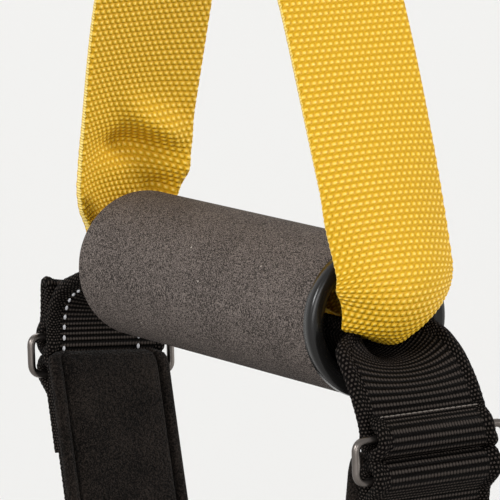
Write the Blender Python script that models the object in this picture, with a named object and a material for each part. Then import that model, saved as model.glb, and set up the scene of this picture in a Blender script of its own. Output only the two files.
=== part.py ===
"""Suspension trainer strap: carabiner, adjustable strap, spinning grip and foot cradle.

Metres, +Z up. The strap hangs from the top inner seat of its carabiner, which is the origin.
X runs along the grip and Y across the webbing.
"""
import math

import bmesh
import bpy
from mathutils import Vector

# Fits
TOUCH_GAP = 0.00035
CUT_OVERRUN = 0.004
JOIN_OVERLAP = 0.0008
BOX_FACES = (
    (0, 1, 3, 2), (4, 6, 7, 5), (0, 4, 5, 1), (2, 3, 7, 6), (0, 2, 6, 4), (1, 5, 7, 3),
)

# Webbing
WEB_WIDTH = 0.038
YELLOW_THICKNESS = 0.0020
BLACK_THICKNESS = 0.0019
HOLD_ANGLE = 25.0
EDGE_GAP = 0.0006

# Carabiner
CARABINER_HEIGHT = 0.100
CARABINER_WIDTH = 0.060
CARABINER_ROD = 0.010
CARABINER_CORNER = 0.0115
GATE_HINGE_RISE = 0.0065
GATE_ROD = 0.009
GATE_TONGUE = 0.0040
NOSE_DROP = 0.003
GATE_PIN_RADIUS = 0.0015
GATE_NOSE_GAP = 0.0006

# Anchor loop
LOOP_WIDTH = 0.024
LOOP_DROP = 0.062
LOOP_EASE = 0.008
STRAP_TOP_DROP = 0.034

# Length adjustment
ADJUST_TRAVEL = 0.140
TAB_HEIGHT = 0.022
TAB_THICKNESS = 0.0016
TAB_CLEAR_LOOP = 0.020
TAB_CLEAR_TAIL = 0.003
HEM_LENGTH = 0.026
HEM_LIP = 0.002

# Cam buckle
BUCKLE_BAR_RADIUS = 0.0022
BUCKLE_TAIL = 0.018
BUCKLE_EASE = 0.006
BUCKLE_PLATE = 0.0020
BUCKLE_LENGTH = 0.044
BUCKLE_RIM = 0.0035
BASE_GAP = 0.0005
BASE_THICKNESS = 0.0016
BASE_DROP = 0.008
CAM_RADIUS = 0.0076
CAM_GAP = 0.0004
CAM_RELIEF = 0.0022
CAM_DROP = 0.026
CAM_TOOTH = 0.0004
CAM_TEETH = 7
CAM_HUB = 0.0048
CAM_SIDE_GAP = 0.0010
LEVER_REACH = 0.013
LEVER_RISE = 0.025
LEVER_THICKNESS = 0.0030
CAM_PIN_RADIUS = 0.0020
CAM_PIN_HEAD = 0.0006
SPRING_HOUSING = 0.0046
SPRING_WIRE = 0.0009
SPRING_RADIUS = 0.0031
SPRING_PITCH = 0.0018
SPRING_TURNS = 4
SPRING_TURN_POINTS = 8
SPRING_WINDOW = 0.0045

# Junction of the strap and the handle webbing
JUNCTION_LENGTH = 0.035
JUNCTION_BELOW_BUCKLE = 0.022
JUNCTION_EASE = 0.040
PATCH_THICKNESS = 0.0014
PATCH_SHORT = 0.003

# Grip
GRIP_LENGTH = 0.130
GRIP_RADIUS = 0.0205
BORE_RADIUS = 0.0150
SPIGOT_WALL = 0.0011
SPIGOT_LENGTH = 0.0125
TUBE_WALL = 0.0012
RING_RADIUS = 0.0208
RING_THICKNESS = 0.0040
RING_LIP = 0.0012
MOUTH_FLARE = 0.0042
FOAM_GAP = 0.0006
FOAM_ROUND = 0.0012

# Handle webbing
HANDLE_LEAN = 24.0
HANDLE_BEND = 0.0150
HANDLE_BEND_INSET = 0.0012
HANDLE_BORE_DROP = 0.0040
HANDLE_BORE_CURL = 0.0102
HANDLE_MOUTH_CURL = 0.0150
HANDLE_MOUTH_START = 0.0010
HANDLE_MOUTH_LENGTH = 0.0160
HANDLE_OPEN_LENGTH = 0.100
HANDLE_OPEN_POWER = 1.4

# Foot cradle
CRADLE_DEPTH = 0.140
CRADLE_RADIUS = 0.0783
CRADLE_LEAN = 12.0
CRADLE_BORE_DROP = 0.0108
CRADLE_BORE_CURL = 0.0134
RING_ROD_RADIUS = 0.0020
RING_PITCH = 0.0090
RING_CORNER = 0.0026
NEAR_BAR_DROP = 0.0265
FAR_BAR_DROP = 0.0235
NEAR_BEND = 0.0140
FAR_BEND = 0.0110
NEAR_TAIL = 0.0030
FAR_TAIL = 0.0105
WRAP_HOLD_ANGLE = 40.0
WRAP_EASE = 0.0030
OPEN_BEFORE_MOUTH = 0.0050
OPEN_CLEAR_BAR = 0.0030
PAD_WIDTH = 0.040
PAD_THICKNESS = 0.0055
PAD_EDGE_THICKNESS = 0.0030
PAD_STRAP_TAIL = 0.016
PAD_RISE = 0.0050
PAD_END_TAPER = 0.006

# Roundness
ARC_STEP = 18.0
ROD_SIDES = 14
PIN_SIDES = 16
TURNED_SIDES = 36
WEB_COLUMNS = 6
PAD_PARTS = 40
SMOOTH_ANGLE = 35.0

# Derived places
ROD_RADIUS = CARABINER_ROD / 2
BOW_RADIUS = (CARABINER_WIDTH - CARABINER_ROD) / 2
BOW_CENTRE_Z = ROD_RADIUS - BOW_RADIUS
BOW_BOTTOM_Z = ROD_RADIUS - (CARABINER_HEIGHT - CARABINER_ROD)
GATE_NOSE_Z = BOW_CENTRE_Z - NOSE_DROP
GATE_HINGE_Z = BOW_BOTTOM_Z + CARABINER_CORNER + GATE_HINGE_RISE

LAYER_BLACK = BLACK_THICKNESS + TOUCH_GAP
LAYER_YELLOW = YELLOW_THICKNESS + TOUCH_GAP
UPPER_X = -(YELLOW_THICKNESS / 2 + TOUCH_GAP + BLACK_THICKNESS / 2)
LOOP_RADIUS = ROD_RADIUS + TOUCH_GAP + BLACK_THICKNESS / 2
LOOP_BOTTOM_Z = BOW_BOTTOM_Z - LOOP_DROP
UPPER_TOP_Z = BOW_BOTTOM_Z - STRAP_TOP_DROP

LOWER_TOP_Z = LOOP_BOTTOM_Z - TAB_CLEAR_LOOP
TAB_TOP_Z = LOWER_TOP_Z - HEM_LIP
TAB_BOTTOM_Z = TAB_TOP_Z - TAB_HEIGHT

BUCKLE_WRAP = BUCKLE_BAR_RADIUS + TOUCH_GAP + BLACK_THICKNESS / 2
BUCKLE_BAR_X = UPPER_X - BUCKLE_WRAP
SIDE_PLATE_Y = WEB_WIDTH / 2 + EDGE_GAP

TUBE_INNER = BORE_RADIUS + SPIGOT_WALL + TOUCH_GAP
TUBE_OUTER = TUBE_INNER + TUBE_WALL
FOAM_INNER = TUBE_OUTER + TOUCH_GAP
HALF_GRIP = GRIP_LENGTH / 2
RING_BACK = HALF_GRIP - RING_THICKNESS

CRADLE_WRAP = RING_ROD_RADIUS + TOUCH_GAP + BLACK_THICKNESS / 2


def tail_rise(wrap, ease, hold, layer):
    """Height from a bar's centre to the place where a wrapped tail lies flat, and its slant run."""
    lean = math.radians(hold)
    slant = (wrap + wrap * math.cos(lean) - ease * (1 - math.cos(lean)) - layer) / math.sin(lean)
    rise = wrap * math.sin(lean) + slant * math.cos(lean) + ease * math.sin(lean)
    return rise, slant


BUCKLE_RISE, BUCKLE_SLANT = tail_rise(BUCKLE_WRAP, BUCKLE_EASE, HOLD_ANGLE, LAYER_BLACK)
BUCKLE_BAR_Z = TAB_BOTTOM_Z - ADJUST_TRAVEL - TAB_CLEAR_TAIL - BUCKLE_TAIL - BUCKLE_RISE
BUCKLE_BOTTOM_Z = BUCKLE_BAR_Z - BUCKLE_LENGTH
CAM_X = YELLOW_THICKNESS / 2 + CAM_GAP + CAM_RADIUS
CAM_Z = BUCKLE_BAR_Z - CAM_DROP
JUNCTION_TOP_Z = BUCKLE_BOTTOM_Z - JUNCTION_BELOW_BUCKLE
JUNCTION_Z = JUNCTION_TOP_Z - JUNCTION_LENGTH


def handle_slant():
    """Straight run of a handle leg between its lower bend and the junction."""
    lean = math.radians(HANDLE_LEAN)
    bend_end = HALF_GRIP - HANDLE_BEND_INSET + HANDLE_BEND * math.cos(lean)
    gained = LAYER_YELLOW + JUNCTION_EASE * (1 - math.cos(lean))
    return (bend_end - gained) / math.sin(lean)


HANDLE_SLANT = handle_slant()
HANDLE_HEIGHT = (
    HANDLE_BEND * (1 + math.sin(math.radians(HANDLE_LEAN)))
    + HANDLE_SLANT * math.cos(math.radians(HANDLE_LEAN))
    + JUNCTION_EASE * math.sin(math.radians(HANDLE_LEAN))
    - HANDLE_BORE_DROP
)
GRIP_Z = JUNCTION_Z - HANDLE_HEIGHT
CRADLE_Z = GRIP_Z - CRADLE_DEPTH


def clear_scene():
    """Start from an empty scene."""
    for item in list(bpy.data.objects):
        bpy.data.objects.remove(item, do_unlink=True)


def make_material(name, colour, roughness, metallic=0.0):
    """Plain finish with the photographed colour."""
    material = bpy.data.materials.new(name)
    material.use_nodes = True
    shader = material.node_tree.nodes["Principled BSDF"]
    shader.inputs["Base Color"].default_value = (*colour, 1.0)
    shader.inputs["Roughness"].default_value = roughness
    shader.inputs["Metallic"].default_value = metallic
    material.diffuse_color = (*colour, 1.0)
    return material


def place(name, mesh, material, parent=None):
    """Put a mesh in the scene under its node's name."""
    mesh.materials.append(material)
    item = bpy.data.objects.new(name, mesh)
    bpy.context.collection.objects.link(item)
    if parent is not None:
        item.parent = parent
        item.matrix_parent_inverse = parent.matrix_world.inverted()
    mesh.shade_smooth()
    mesh.set_sharp_from_angle(angle=math.radians(SMOOTH_ANGLE))
    return item


def joint_empty(name, location):
    """Empty that stands on a joint's axis."""
    empty = bpy.data.objects.new(name, None)
    empty.location = location
    bpy.context.collection.objects.link(empty)
    bpy.context.view_layer.update()
    return empty


def mesh_from(name, points, faces):
    """Mesh with its faces turned outwards."""
    mesh = bpy.data.meshes.new(name)
    mesh.from_pydata([tuple(point) for point in points], [], faces)
    shape = bmesh.new()
    shape.from_mesh(mesh)
    bmesh.ops.recalc_face_normals(shape, faces=shape.faces)
    shape.to_mesh(mesh)
    shape.free()
    return mesh


def box_mesh(name, low, high):
    """Plain box between two corners."""
    points = [
        (x, y, z)
        for x in (low[0], high[0]) for y in (low[1], high[1]) for z in (low[2], high[2])
    ]
    return mesh_from(name, points, BOX_FACES)


def tube_mesh(name, centres, across, radius, sides, closed=False):
    """Round rod along points in a plane whose unit normal is across."""
    points, faces = [], []
    count = len(centres)
    for index, centre in enumerate(centres):
        before = centres[index - 1] if closed or index > 0 else centre
        after = centres[(index + 1) % count] if closed or index < count - 1 else centre
        side = across.cross((after - before).normalized())
        for step in range(sides):
            turn = 2 * math.pi * step / sides
            points.append(centre + radius * (math.cos(turn) * across + math.sin(turn) * side))
    spans = count if closed else count - 1
    for index in range(spans):
        first, second = index * sides, ((index + 1) % count) * sides
        for step in range(sides):
            near = (step + 1) % sides
            faces.append((first + step, first + near, second + near, second + step))
    if not closed:
        faces.append(tuple(range(sides)))
        faces.append(tuple(range((count - 1) * sides, count * sides)))
    return mesh_from(name, points, faces)


def rod_mesh(name, start, end, radius, sides):
    """Straight round pin from one point to another."""
    start, end = Vector(start), Vector(end)
    along = (end - start).normalized()
    across = along.orthogonal().normalized()
    return tube_mesh(name, [start, end], across, radius, sides)


def turned_mesh(name, profile, centre, sides):
    """Closed profile of (x, radius) points turned about an X axis through a centre."""
    points, faces = [], []
    count = len(profile)
    for step in range(sides):
        turn = 2 * math.pi * step / sides
        for along, radius in profile:
            points.append((
                centre[0] + along,
                centre[1] + radius * math.cos(turn),
                centre[2] + radius * math.sin(turn),
            ))
    for step in range(sides):
        first, second = step * count, ((step + 1) % sides) * count
        for index in range(count):
            after = (index + 1) % count
            faces.append((first + index, second + index, second + after, first + after))
    return mesh_from(name, points, faces)


def prism_mesh(name, outline, low_y, high_y):
    """Outline of (x, z) points drawn out along Y."""
    count = len(outline)
    points = [(x, low_y, z) for x, z in outline] + [(x, high_y, z) for x, z in outline]
    faces = [(i, (i + 1) % count, count + (i + 1) % count, count + i) for i in range(count)]
    faces.append(tuple(range(count)))
    faces.append(tuple(range(count, 2 * count)))
    return mesh_from(name, points, faces)


def combine(item, operation, meshes):
    """Join meshes to a piece, or cut them from it, and hide the operands."""
    for mesh in meshes:
        operand = bpy.data.objects.new(item.name + "_" + mesh.name, mesh)
        bpy.context.collection.objects.link(operand)
        operand.hide_render = True
        operand.display_type = "WIRE"
        modifier = item.modifiers.new(mesh.name, "BOOLEAN")
        modifier.operation = operation
        modifier.object = operand
        modifier.solver = "EXACT"


class Route:
    """Path in a plane, drawn by straight runs and arcs from a point and a heading in degrees."""

    def __init__(self, x, z, heading):
        self.x, self.z, self.heading = x, z, math.radians(heading)
        self.stations = [(x, z, self.heading)]
        self.travelled = [0.0]

    def _add(self, length):
        self.stations.append((self.x, self.z, self.heading))
        self.travelled.append(self.travelled[-1] + length)

    def line(self, length, parts=1):
        """Go straight."""
        for _ in range(parts):
            self.x += math.cos(self.heading) * length / parts
            self.z += math.sin(self.heading) * length / parts
            self._add(length / parts)
        return self

    def arc(self, radius, turn, step=ARC_STEP):
        """Turn by an angle in degrees, to the left when it is positive."""
        parts = max(2, math.ceil(abs(turn) / step))
        bend = math.radians(turn) / parts
        chord = 2 * radius * math.sin(abs(bend) / 2)
        for _ in range(parts):
            self.heading += bend / 2
            self.x += math.cos(self.heading) * chord
            self.z += math.sin(self.heading) * chord
            self.heading += bend / 2
            self._add(radius * abs(bend))
        return self

    def at(self, distance):
        """Station at a distance along the route, straight on past its ends."""
        last = len(self.travelled) - 1
        index = 1
        while index < last and self.travelled[index] < distance:
            index += 1
        start, end = self.travelled[index - 1], self.travelled[index]
        share = (distance - start) / (end - start)
        (x0, z0, h0), (x1, z1, h1) = self.stations[index - 1], self.stations[index]
        if distance > self.travelled[last]:
            over = distance - self.travelled[last]
            return x1 + math.cos(h1) * over, z1 + math.sin(h1) * over, h1
        return x0 + (x1 - x0) * share, z0 + (z1 - z0) * share, h0 + (h1 - h0) * share

    @property
    def length(self):
        """Distance travelled so far."""
        return self.travelled[-1]


def strip_mesh(name, stations, width, thickness, columns=1):
    """Flat or curled webbing along stations of (x, z, heading, curl)."""
    points, faces = [], []
    ring = 2 * (columns + 1)
    for x, z, heading, curl in stations:
        centre = Vector((x, 0, z))
        normal = Vector((-math.sin(heading), 0, math.cos(heading)))
        lower, upper = [], []
        for column in range(columns + 1):
            reach = width * (column / columns - 1 / 2)
            turn = reach * curl
            rise = (1 - math.cos(turn)) / curl if curl else 0.0
            side = math.sin(turn) / curl if curl else reach
            middle = centre + normal * rise + Vector((0, side, 0))
            face = normal * math.cos(turn) - Vector((0, math.sin(turn), 0))
            lower.append(middle - face * thickness / 2)
            upper.append(middle + face * thickness / 2)
        points.extend(lower + upper[::-1])
    for index in range(len(stations) - 1):
        first, second = index * ring, (index + 1) * ring
        for step in range(ring):
            after = (step + 1) % ring
            faces.append((first + step, first + after, second + after, second + step))
    for start in (0, (len(stations) - 1) * ring):
        for column in range(columns):
            faces.append((
                start + column, start + column + 1,
                start + ring - 2 - column, start + ring - 1 - column,
            ))
    return mesh_from(name, points, faces)


def flat(route):
    """Stations of a route with no curl."""
    return [(x, z, heading, 0.0) for x, z, heading in route.stations]


def mirrored(stations):
    """Stations of the far side, in reverse order."""
    return [(-x, z, -heading, curl) for x, z, heading, curl in reversed(stations)]


def opening_curl(distance, start, length, curl):
    """Curl that eases from its full value to none along a length."""
    share = min(max((distance - start) / length, 0.0), 1.0)
    return curl * (1 - share * share * (3 - 2 * share))


def sleeve_mesh(name, low_x, high_x, half_y, low_z, high_z, thickness):
    """Rectangular band round a strap, open above and below."""
    outer = [
        (low_x - thickness, -half_y - thickness), (high_x + thickness, -half_y - thickness),
        (high_x + thickness, half_y + thickness), (low_x - thickness, half_y + thickness),
    ]
    inner = [(low_x, -half_y), (high_x, -half_y), (high_x, half_y), (low_x, half_y)]
    points = [(x, y, z) for z in (low_z, high_z) for loop in (outer, inner) for x, y in loop]
    faces = []
    count = len(outer)
    for step in range(count):
        after = (step + 1) % count
        out_low, out_low_after = step, after
        in_low, in_low_after = count + step, count + after
        out_high, out_high_after = 2 * count + step, 2 * count + after
        in_high, in_high_after = 3 * count + step, 3 * count + after
        faces.append((out_low, out_low_after, out_high_after, out_high))
        faces.append((in_low, in_high, in_high_after, in_low_after))
        faces.append((out_low, in_low, in_low_after, out_low_after))
        faces.append((out_high, out_high_after, in_high_after, in_high))
    return mesh_from(name, points, faces)


def arc_points(centre, radius, start, end, step=ARC_STEP):
    """Points of an arc in the YZ plane, with its angles in degrees from +Y."""
    parts = max(2, math.ceil(abs(end - start) / step))
    for index in range(parts + 1):
        turn = math.radians(start + (end - start) * index / parts)
        yield Vector((0, centre[0] + radius * math.cos(turn), centre[1] + radius * math.sin(turn)))


def carabiner_body(material):
    """Bent rod with a fork for its gate."""
    corner_z = BOW_BOTTOM_Z + CARABINER_CORNER
    corner_y = BOW_RADIUS - CARABINER_CORNER
    centres = [Vector((0, BOW_RADIUS, GATE_NOSE_Z))]
    centres += arc_points((0, BOW_CENTRE_Z), BOW_RADIUS, 0, 180)
    centres += arc_points((-corner_y, corner_z), CARABINER_CORNER, 180, 270)
    centres += arc_points((corner_y, corner_z), CARABINER_CORNER, 270, 360)
    centres.append(Vector((0, BOW_RADIUS, GATE_HINGE_Z)))
    across = Vector((1, 0, 0))
    body = place(
        "carabiner_body", tube_mesh("carabiner_body", centres, across, ROD_RADIUS, ROD_SIDES),
        material,
    )
    knuckle_half = ROD_RADIUS - JOIN_OVERLAP
    combine(body, "UNION", [rod_mesh(
        "knuckle", (-knuckle_half, BOW_RADIUS, GATE_HINGE_Z),
        (knuckle_half, BOW_RADIUS, GATE_HINGE_Z), ROD_RADIUS, PIN_SIDES,
    )])
    slot = GATE_TONGUE / 2 + TOUCH_GAP
    slot_reach = ROD_RADIUS + CUT_OVERRUN
    combine(body, "DIFFERENCE", [
        box_mesh(
            "slot", (-slot, BOW_RADIUS - slot_reach, GATE_HINGE_Z - ROD_RADIUS - TOUCH_GAP),
            (slot, BOW_RADIUS + slot_reach, GATE_HINGE_Z + slot_reach),
        ),
        rod_mesh(
            "pin_hole", (-slot_reach, BOW_RADIUS, GATE_HINGE_Z),
            (slot_reach, BOW_RADIUS, GATE_HINGE_Z), GATE_PIN_RADIUS + TOUCH_GAP, PIN_SIDES,
        ),
    ])


def carabiner_gate(material, pin_material):
    """Gate that turns on a pin in the fork, and the pin."""
    hinge = joint_empty("gate_hinge", (0, BOW_RADIUS, GATE_HINGE_Z))
    bottom = GATE_HINGE_Z + ROD_RADIUS + TOUCH_GAP
    gate = place("carabiner_gate", rod_mesh(
        "carabiner_gate", (0, BOW_RADIUS, bottom), (0, BOW_RADIUS, GATE_NOSE_Z - GATE_NOSE_GAP),
        GATE_ROD / 2, ROD_SIDES,
    ), material, hinge)
    half = GATE_TONGUE / 2
    eye = ROD_RADIUS - JOIN_OVERLAP
    combine(gate, "UNION", [
        box_mesh(
            "tongue", (-half, BOW_RADIUS - eye, GATE_HINGE_Z),
            (half, BOW_RADIUS + eye, bottom + JOIN_OVERLAP),
        ),
        rod_mesh(
            "eye", (-half, BOW_RADIUS, GATE_HINGE_Z), (half, BOW_RADIUS, GATE_HINGE_Z),
            eye, PIN_SIDES,
        ),
    ])
    reach = GATE_TONGUE + CUT_OVERRUN
    combine(gate, "DIFFERENCE", [rod_mesh(
        "gate_hole", (-reach, BOW_RADIUS, GATE_HINGE_Z), (reach, BOW_RADIUS, GATE_HINGE_Z),
        GATE_PIN_RADIUS + TOUCH_GAP, PIN_SIDES,
    )])
    place("gate_pin", rod_mesh(
        "gate_pin", (-ROD_RADIUS, BOW_RADIUS, GATE_HINGE_Z), (ROD_RADIUS, BOW_RADIUS, GATE_HINGE_Z),
        GATE_PIN_RADIUS, PIN_SIDES,
    ), pin_material)


def anchor_loop(material):
    """Narrow webbing loop round the carabiner's lower bow, sewn over the strap's top."""
    lean = math.radians(HOLD_ANGLE)
    front_x, back_x = UPPER_X + LAYER_BLACK, UPPER_X - LAYER_BLACK
    level = LOOP_RADIUS * math.cos(lean) - LOOP_EASE * (1 - math.cos(lean))
    front_slant = (level - front_x) / math.sin(lean)
    back_slant = (level + back_x) / math.sin(lean)
    turned_height = (LOOP_RADIUS + LOOP_EASE) * math.sin(lean)
    front_leg = LOOP_DROP - turned_height - front_slant * math.cos(lean)
    back_leg = LOOP_DROP - turned_height - back_slant * math.cos(lean)
    route = Route(front_x, LOOP_BOTTOM_Z, 90)
    route.line(front_leg).arc(LOOP_EASE, -HOLD_ANGLE).line(front_slant)
    route.arc(LOOP_RADIUS, 180 + 2 * HOLD_ANGLE)
    route.line(back_slant).arc(LOOP_EASE, -HOLD_ANGLE).line(back_leg)
    place("anchor_loop", strip_mesh(
        "anchor_loop", flat(route), LOOP_WIDTH, BLACK_THICKNESS,
    ), material)


def upper_strap(material):
    """Black strap from the anchor loop to the buckle's bar, with its sewn tail."""
    route = Route(UPPER_X, UPPER_TOP_Z, -90)
    route.line(UPPER_TOP_Z - BUCKLE_BAR_Z)
    route.arc(BUCKLE_WRAP, -180 - HOLD_ANGLE)
    route.line(BUCKLE_SLANT).arc(BUCKLE_EASE, HOLD_ANGLE).line(BUCKLE_TAIL)
    place("upper_strap", strip_mesh(
        "upper_strap", flat(route), WEB_WIDTH, BLACK_THICKNESS,
    ), material)


def buckle_frame(material):
    """Pressed frame: two ears, a bar above and a base plate behind the strap."""
    rim_x = BUCKLE_BAR_X - BUCKLE_BAR_RADIUS - BUCKLE_RIM
    nose_x = CAM_X + CAM_PIN_RADIUS + BUCKLE_RIM
    top_z = BUCKLE_BAR_Z + BUCKLE_BAR_RADIUS + BUCKLE_RIM
    outline = [
        (rim_x, BUCKLE_BAR_Z), (rim_x, BUCKLE_BOTTOM_Z + BUCKLE_RIM),
        (rim_x + BUCKLE_RIM, BUCKLE_BOTTOM_Z), (CAM_X, BUCKLE_BOTTOM_Z + BUCKLE_RIM),
        (nose_x, CAM_Z - BUCKLE_RIM), (nose_x, CAM_Z + BUCKLE_RIM),
        (CAM_X - BUCKLE_RIM, CAM_Z + CAM_RADIUS + BUCKLE_RIM),
        (BUCKLE_BAR_X + BUCKLE_BAR_RADIUS + BUCKLE_RIM, BUCKLE_BAR_Z),
        (BUCKLE_BAR_X + BUCKLE_BAR_RADIUS, top_z), (BUCKLE_BAR_X - BUCKLE_BAR_RADIUS, top_z),
    ]
    inner, outer = SIDE_PLATE_Y, SIDE_PLATE_Y + BUCKLE_PLATE
    frame = place("buckle_frame", prism_mesh("buckle_frame", outline, inner, outer), material)
    middle = (inner + outer) / 2
    base_front = -(YELLOW_THICKNESS / 2 + BASE_GAP)
    combine(frame, "UNION", [
        rod_mesh(
            "bar", (BUCKLE_BAR_X, -middle, BUCKLE_BAR_Z), (BUCKLE_BAR_X, middle, BUCKLE_BAR_Z),
            BUCKLE_BAR_RADIUS, PIN_SIDES,
        ),
        box_mesh(
            "base", (base_front - BASE_THICKNESS, -middle, BUCKLE_BOTTOM_Z + BUCKLE_RIM),
            (base_front, middle, BUCKLE_BAR_Z - BASE_DROP),
        ),
        prism_mesh("far_ear", outline, -outer, -inner),
    ])
    reach = outer + CUT_OVERRUN
    combine(frame, "DIFFERENCE", [rod_mesh(
        "cam_hole", (CAM_X, -reach, CAM_Z), (CAM_X, reach, CAM_Z),
        CAM_PIN_RADIUS + TOUCH_GAP, PIN_SIDES,
    )])


def cam_outline():
    """Toothed cam, its hub and its thumb lever, as (x, z) points about the pin."""
    points = []
    steps = 2 * CAM_TEETH
    for index in range(steps + 1):
        angle = 120 + 120 * index / steps
        bend = (angle - 180) / 60
        tooth = CAM_TOOTH if index % 2 else 0.0
        radius = CAM_RADIUS - CAM_RELIEF * bend * bend - tooth
        turn = math.radians(angle)
        points.append((radius * math.cos(turn), radius * math.sin(turn)))
    for angle in (270, 300, 330, 360):
        turn = math.radians(angle)
        points.append((CAM_HUB * math.cos(turn), CAM_HUB * math.sin(turn)))
    points.append((LEVER_REACH, LEVER_RISE - LEVER_THICKNESS))
    points.append((LEVER_REACH, LEVER_RISE))
    points.append((LEVER_REACH - LEVER_THICKNESS, LEVER_RISE))
    points.append((0, CAM_HUB + LEVER_THICKNESS))
    return [(CAM_X + x, CAM_Z + z) for x, z in points]


def cam_lever(material, pin_material, spring_material):
    """Cam that grips the lower strap, with its pin and return spring."""
    hinge = joint_empty("cam_hinge", (CAM_X, 0, CAM_Z))
    half = SIDE_PLATE_Y - CAM_SIDE_GAP
    lever = place("cam_lever", prism_mesh("cam_lever", cam_outline(), -half, half), material, hinge)
    spring_half = SPRING_PITCH * SPRING_TURNS / 2 + SPRING_WIRE
    reach = half + CUT_OVERRUN
    window = SPRING_HOUSING + CUT_OVERRUN
    combine(lever, "DIFFERENCE", [
        rod_mesh("pin_bore", (CAM_X, -reach, CAM_Z), (CAM_X, reach, CAM_Z),
                 CAM_PIN_RADIUS + TOUCH_GAP, PIN_SIDES),
        rod_mesh("spring_bore", (CAM_X, -spring_half, CAM_Z), (CAM_X, spring_half, CAM_Z),
                 SPRING_HOUSING, PIN_SIDES),
        box_mesh("window", (CAM_X, -spring_half, CAM_Z - window),
                 (CAM_X + window, spring_half, CAM_Z + SPRING_WINDOW)),
    ])
    end = SIDE_PLATE_Y + BUCKLE_PLATE + CAM_PIN_HEAD
    place("cam_pin", rod_mesh(
        "cam_pin", (CAM_X, -end, CAM_Z), (CAM_X, end, CAM_Z), CAM_PIN_RADIUS, PIN_SIDES,
    ), pin_material)
    cam_spring(spring_material)


def cam_spring(material):
    """Coil round the cam pin, whose turns lie a pitch apart."""
    curve = bpy.data.curves.new("cam_spring", "CURVE")
    curve.dimensions = "3D"
    curve.bevel_depth = SPRING_WIRE / 2
    curve.bevel_resolution = 1
    curve.use_fill_caps = True
    count = SPRING_TURNS * SPRING_TURN_POINTS + 1
    spline = curve.splines.new("POLY")
    spline.points.add(count - 1)
    for index in range(count):
        turn = 2 * math.pi * index / SPRING_TURN_POINTS
        along = SPRING_PITCH * (index / SPRING_TURN_POINTS - SPRING_TURNS / 2)
        spline.points[index].co = (
            CAM_X + SPRING_RADIUS * math.cos(turn), along,
            CAM_Z + SPRING_RADIUS * math.sin(turn), 1,
        )
    print("cam_spring least gap between turns", SPRING_PITCH - SPRING_WIRE)
    curve.materials.append(material)
    spring = bpy.data.objects.new("cam_spring", curve)
    bpy.context.collection.objects.link(spring)


def lower_strap(material):
    """Yellow strap that slides through the buckle, hemmed at its top."""
    bottom = JUNCTION_Z + PATCH_SHORT
    route = Route(LAYER_YELLOW, LOWER_TOP_Z - HEM_LENGTH, 90)
    route.line(HEM_LENGTH).arc(LAYER_YELLOW / 2, 180, 45).line(LOWER_TOP_Z - bottom)
    place("lower_strap", strip_mesh(
        "lower_strap", flat(route), WEB_WIDTH, YELLOW_THICKNESS,
    ), material)


def adjuster_tab(material):
    """Sleeve on the lower strap's hem that slides along the upper strap."""
    low_x = UPPER_X - BLACK_THICKNESS / 2 - TOUCH_GAP
    high_x = LAYER_YELLOW + YELLOW_THICKNESS / 2 + TOUCH_GAP
    place("adjuster_tab", sleeve_mesh(
        "adjuster_tab", low_x, high_x, WEB_WIDTH / 2 + TOUCH_GAP,
        TAB_BOTTOM_Z, TAB_TOP_Z, TAB_THICKNESS,
    ), material)


def junction_patch(material):
    """Sewn band round the lower strap and the two ends of the handle webbing."""
    half_x = LAYER_YELLOW + YELLOW_THICKNESS / 2 + TOUCH_GAP
    place("junction_patch", sleeve_mesh(
        "junction_patch", -half_x, half_x, WEB_WIDTH / 2 + TOUCH_GAP,
        JUNCTION_Z + PATCH_SHORT, JUNCTION_TOP_Z - PATCH_SHORT, PATCH_THICKNESS,
    ), material)


def handle_curl(distance):
    """Curl of the handle webbing: tight in the bore, wide at the mouth, none up the leg."""
    mouth = 1 / HANDLE_MOUTH_CURL
    inside = opening_curl(
        distance, HALF_GRIP - HANDLE_MOUTH_START, HANDLE_MOUTH_LENGTH,
        1 / HANDLE_BORE_CURL - mouth,
    )
    share = min(max((distance - HALF_GRIP) / HANDLE_OPEN_LENGTH, 0.0), 1.0)
    return inside + mouth * (1 - share) ** HANDLE_OPEN_POWER


def handle_webbing(material):
    """Yellow webbing from the junction down through the grip and up again."""
    route = Route(0, GRIP_Z - HANDLE_BORE_DROP, 0)
    route.line(HALF_GRIP - HANDLE_BEND_INSET, 2)
    route.arc(HANDLE_BEND, 90 + HANDLE_LEAN, 13)
    bend_end = route.length
    route.line(HALF_GRIP + HANDLE_OPEN_LENGTH - bend_end, 8)
    route.line(HANDLE_SLANT - (route.length - bend_end))
    route.arc(JUNCTION_EASE, -HANDLE_LEAN, 8).line(JUNCTION_LENGTH)
    half = [
        (x, z, heading, handle_curl(distance))
        for (x, z, heading), distance in zip(route.stations, route.travelled)
    ]
    place("handle_webbing", strip_mesh(
        "handle_webbing", mirrored(half)[:-1] + half, WEB_WIDTH, YELLOW_THICKNESS, WEB_COLUMNS,
    ), material)


def grip(foam_material, tube_material, ring_material):
    """Foam sleeve on a rigid tube with a flared ring in each end."""
    centre = (0, 0, GRIP_Z)
    hinge = joint_empty("grip_axis", centre)
    end = RING_BACK - FOAM_GAP
    place("grip_foam", turned_mesh("grip_foam", [
        (-end, FOAM_INNER), (end, FOAM_INNER), (end, GRIP_RADIUS - FOAM_ROUND),
        (end - FOAM_ROUND, GRIP_RADIUS), (FOAM_ROUND - end, GRIP_RADIUS),
        (-end, GRIP_RADIUS - FOAM_ROUND),
    ], centre, TURNED_SIDES), foam_material, hinge)
    tube_end = RING_BACK - TOUCH_GAP
    place("grip_tube", turned_mesh("grip_tube", [
        (-tube_end, TUBE_INNER), (tube_end, TUBE_INNER),
        (tube_end, TUBE_OUTER), (-tube_end, TUBE_OUTER),
    ], centre, TURNED_SIDES), tube_material, hinge)
    profile = ring_profile()
    place("end_ring_near", turned_mesh(
        "end_ring_near", profile, centre, TURNED_SIDES,
    ), ring_material, hinge)
    place("end_ring_far", turned_mesh(
        "end_ring_far", [(-x, radius) for x, radius in profile], centre, TURNED_SIDES,
    ), ring_material, hinge)


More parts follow.
